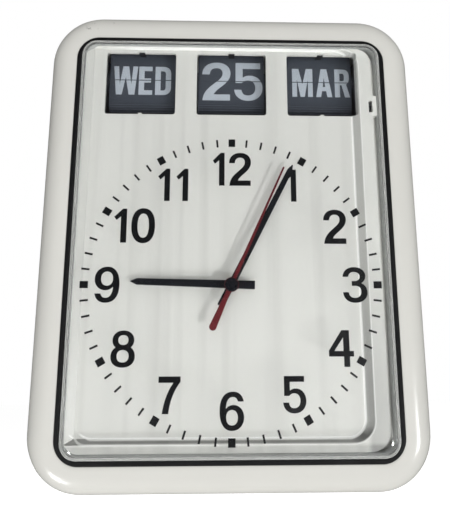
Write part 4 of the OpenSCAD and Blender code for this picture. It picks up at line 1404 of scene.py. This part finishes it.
@dataclass
class Studio:
    """Camera, lamps, floor and the white surroundings.

    Places and the floor's half side are in metres, turns in degrees, the lens and the sensor in
    millimetres. The floor lifts what the camera sees of it by floor_lift.
    """

    place: Triple = (-0.01043655, -0.40962754, -0.03031812)
    turn: Triple = (98.9258471, -0.09226404, -1.31526854)
    lens: float = 28.9934
    sensor: float = 36.0
    shift: tuple[float, float] = (-0.005918, -0.088472)
    nearest: float = 0.01
    floor_level: float = -1.05
    floor_half: float = 3.0
    floor_lift: float = 0.9
    floor_tones: tuple[Triple, Triple] = (paint(240, 240, 238), paint(236, 236, 234))
    floor_waves: float = 6.0
    ambient: float = 0.08
    gloss: float = 0.045
    inside: float = 0.18
    lamps: tuple[Lamp, ...] = (
        Lamp("key", (1.6, -1.6, -0.98), 0.1, 19.0),
        Lamp("low fill", (-0.62, -0.55, -0.92), 0.2, 3.5),
        Lamp("overhead", (0.0, -0.9, 1.5), 1.0, 10.4, shines=False),
        Lamp("front", (0.0, -1.4, -0.2), 1.2, 5.7, shines=False),
        Lamp("behind", (-0.5, 1.7, 0.9), 1.2, 34.0, shines=False),
    )

    WHITE = (1.0, 1.0, 1.0, 1.0)
    BOUNCED = 0.5

    def camera(self) -> None:
        """Adds the camera at the photograph's place."""
        data = bpy.data.cameras.new("camera")
        data.sensor_width = self.sensor
        data.sensor_fit = "AUTO"
        data.lens = self.lens
        data.shift_x, data.shift_y = self.shift
        data.clip_start = self.nearest
        made = bpy.data.objects.new("camera", data)
        made.location = self.place
        made.rotation_euler = tuple(math.radians(v) for v in self.turn)
        bpy.context.scene.collection.objects.link(made)
        bpy.context.scene.camera = made

    def surroundings(self) -> None:
        """World: white to the eye, dim in gloss, even pale light outside and behind the crystal.

        Camera rays, and rays through the crystal before any bounce, get 1. Of the other rays
        plain ones get ambient and glossy ones gloss. Rays through the crystal count as glossy
        too, so after a diffuse bounce they get inside - gloss on top of it.
        """
        world = bpy.data.worlds.new("surroundings")
        world.use_nodes = True
        sky = Nodes(world.node_tree)
        rays = sky.node("ShaderNodeLightPath").outputs
        bent, diffuse = rays["Is Transmission Ray"], rays["Diffuse Depth"]
        bounces = sky.math("ADD", diffuse, rays["Glossy Depth"])
        through = sky.times(bent, sky.math("LESS_THAN", bounces, self.BOUNCED))
        seen = sky.math("MAXIMUM", rays["Is Camera Ray"], through)
        lit = sky.times(bent, sky.math("GREATER_THAN", diffuse, self.BOUNCED))
        plain = sky.math("MULTIPLY_ADD", rays["Is Glossy Ray"], self.gloss - self.ambient,
                         self.ambient)
        plain = sky.math("MULTIPLY_ADD", lit, self.inside - self.gloss, plain)
        shade = sky.node("ShaderNodeBackground", {
            "Color": self.WHITE, "Strength": sky.math("MAXIMUM", seen, plain)})
        sky.node("ShaderNodeOutputWorld", {"Surface": shade.outputs[0]})
        bpy.context.scene.world = world

    def floor(self) -> None:
        """Adds the pale floor under the hanging clock."""
        half, z = self.floor_half, self.floor_level
        corners = [(-half, -half, z), (half, -half, z), (half, half, z), (-half, half, z)]
        mesh = bpy.data.meshes.new("floor")
        mesh.from_pydata(corners, [], [(0, 1, 2, 3)])
        graph = Graph("floor")
        tone = graph.blend(graph.noise(self.floor_waves), *self.floor_tones)
        base = graph.node("ShaderNodeBsdfDiffuse", {"Color": tone})
        rays = graph.node("ShaderNodeLightPath").outputs["Is Camera Ray"]
        glow = graph.node("ShaderNodeEmission", {
            "Color": self.WHITE, "Strength": graph.times(rays, self.floor_lift)})
        both = graph.node("ShaderNodeAddShader", {0: base.outputs[0], 1: glow.outputs[0]})
        mesh.materials.append(graph.close(both))
        made = bpy.data.objects.new("floor", mesh)
        bpy.context.scene.collection.objects.link(made)
        made.visible_glossy = False
        made.visible_transmission = False

    def build(self) -> None:
        """Sets up the studio."""
        self.camera()
        self.surroundings()
        self.floor()
        for lamp in self.lamps:
            lamp.build()
        bpy.context.scene.view_settings.view_transform = "Standard"


def main() -> None:
    """Builds the clock and its studio in order."""
    logging.basicConfig(level=logging.INFO, format="%(name)s %(message)s")
    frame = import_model()
    finishes = Finishes()
    Studio().build()
    for kind in (Dressing, Housing, DialPrint, Hands, Calendar):
        kind(frame, finishes).build()


if __name__ == "__main__":
    main()
